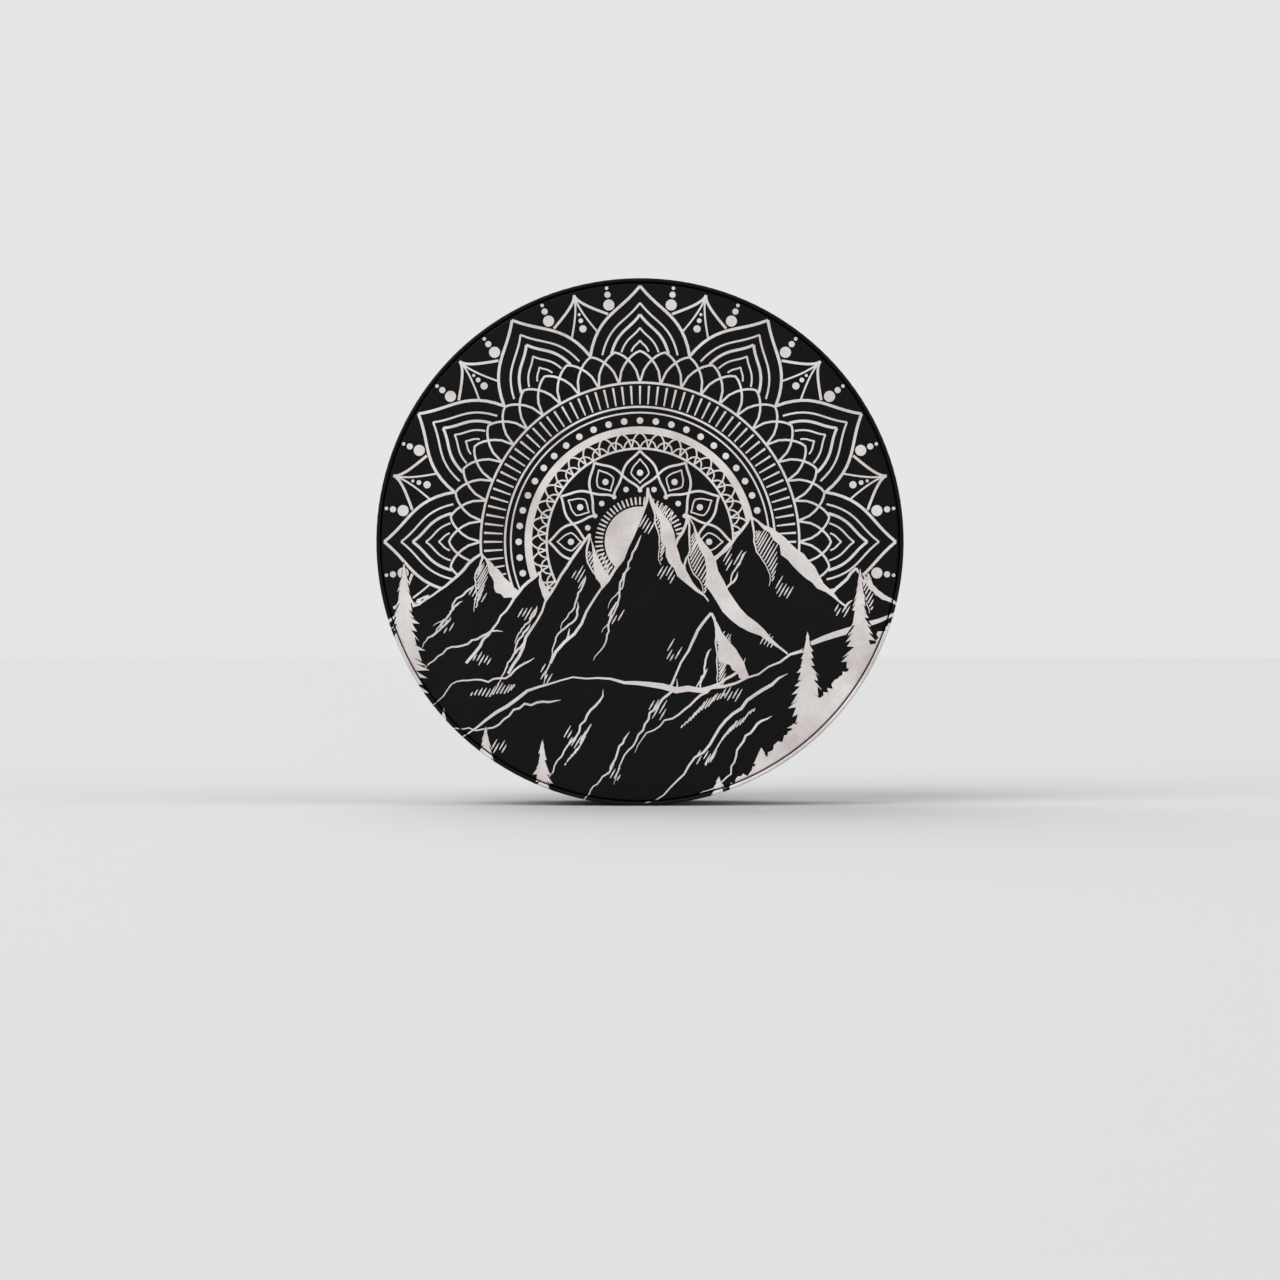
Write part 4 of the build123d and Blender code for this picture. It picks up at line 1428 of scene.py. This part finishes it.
def on_circle(radius, depth, steps=1200):
    return [
        (radius * math.sin(t), float(depth(t)), radius * math.cos(t))
        for t in np.arange(steps) / steps * math.tau
    ]


stitch = stitch_tree()
thread = {"Pitch": 0.0036, "Stitch": 0.0032, "Thread": 0.00075, "Finish": thread_finish}
hem_rows = [
    on_circle(r, lambda t, r=r, y=y: y - hem_fold(t, r))
    for y in (casing_far_y - 0.0001, casing_near_y + 0.0001)
    for r in (0.3040, 0.3108)
]
binding_row = [on_circle(0.40128, lambda t: -0.1218)]
closed_rows = grown("stitches_round", stitch, hem_rows + binding_row, thread, closed=True)
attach(closed_rows, "cover")

join_rows = []
for up in (1, -1):
    for x in (-0.0062, 0.0062):
        for skin_r in (0.40925, 0.40705):
            z = up * math.sqrt(skin_r**2 - x * x)
            join_rows.append([(x, y, z) for y in np.linspace(-0.112, 0.092, 60)])
label_row = [
    on_inside(x, z, 0.12747)
    for x, z in [(x, 0.3226) for x in np.linspace(-0.0186, 0.0186, 12)]
    + [(x, 0.3476) for x in np.linspace(0.0186, -0.0186, 12)]
    + [(-0.0186, 0.3226)]
]
patch_rim = [(-0.0197, -0.0177), (0.0197, -0.0177), (0.0197, 0.0177), (-0.0197, 0.0177)]
patch_rim.append(patch_rim[0])
crossed = [(-0.015, -0.0095), (0.015, -0.0095), (0.015, 0.0095), (-0.015, 0.0095)]
crossed += [crossed[0], crossed[2]]
box_rows = []
for px, pz in patch_places:
    for y, line in ((0.13035, patch_rim), (0.13200, crossed), (0.13200, [crossed[3], crossed[1]])):
        box_rows.append([(px + x, y, pz + z) for x, z in line])
straight_rows = grown("stitches_flat", stitch, join_rows + [label_row] + box_rows, thread)
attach(straight_rows, "cover")
for strap, height in (("upper", 0.17), ("lower", -0.17)):
    back_tack = [
        [(x, 0.13355, height - 0.0100), (x, 0.13355, height + 0.0100)]
        for x in (0.060, 0.064, 0.074, 0.078)
    ]
    tack = grown(f"{strap}_back_tack", stitch, back_tack, thread)
    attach(tack, f"{strap}_insert")
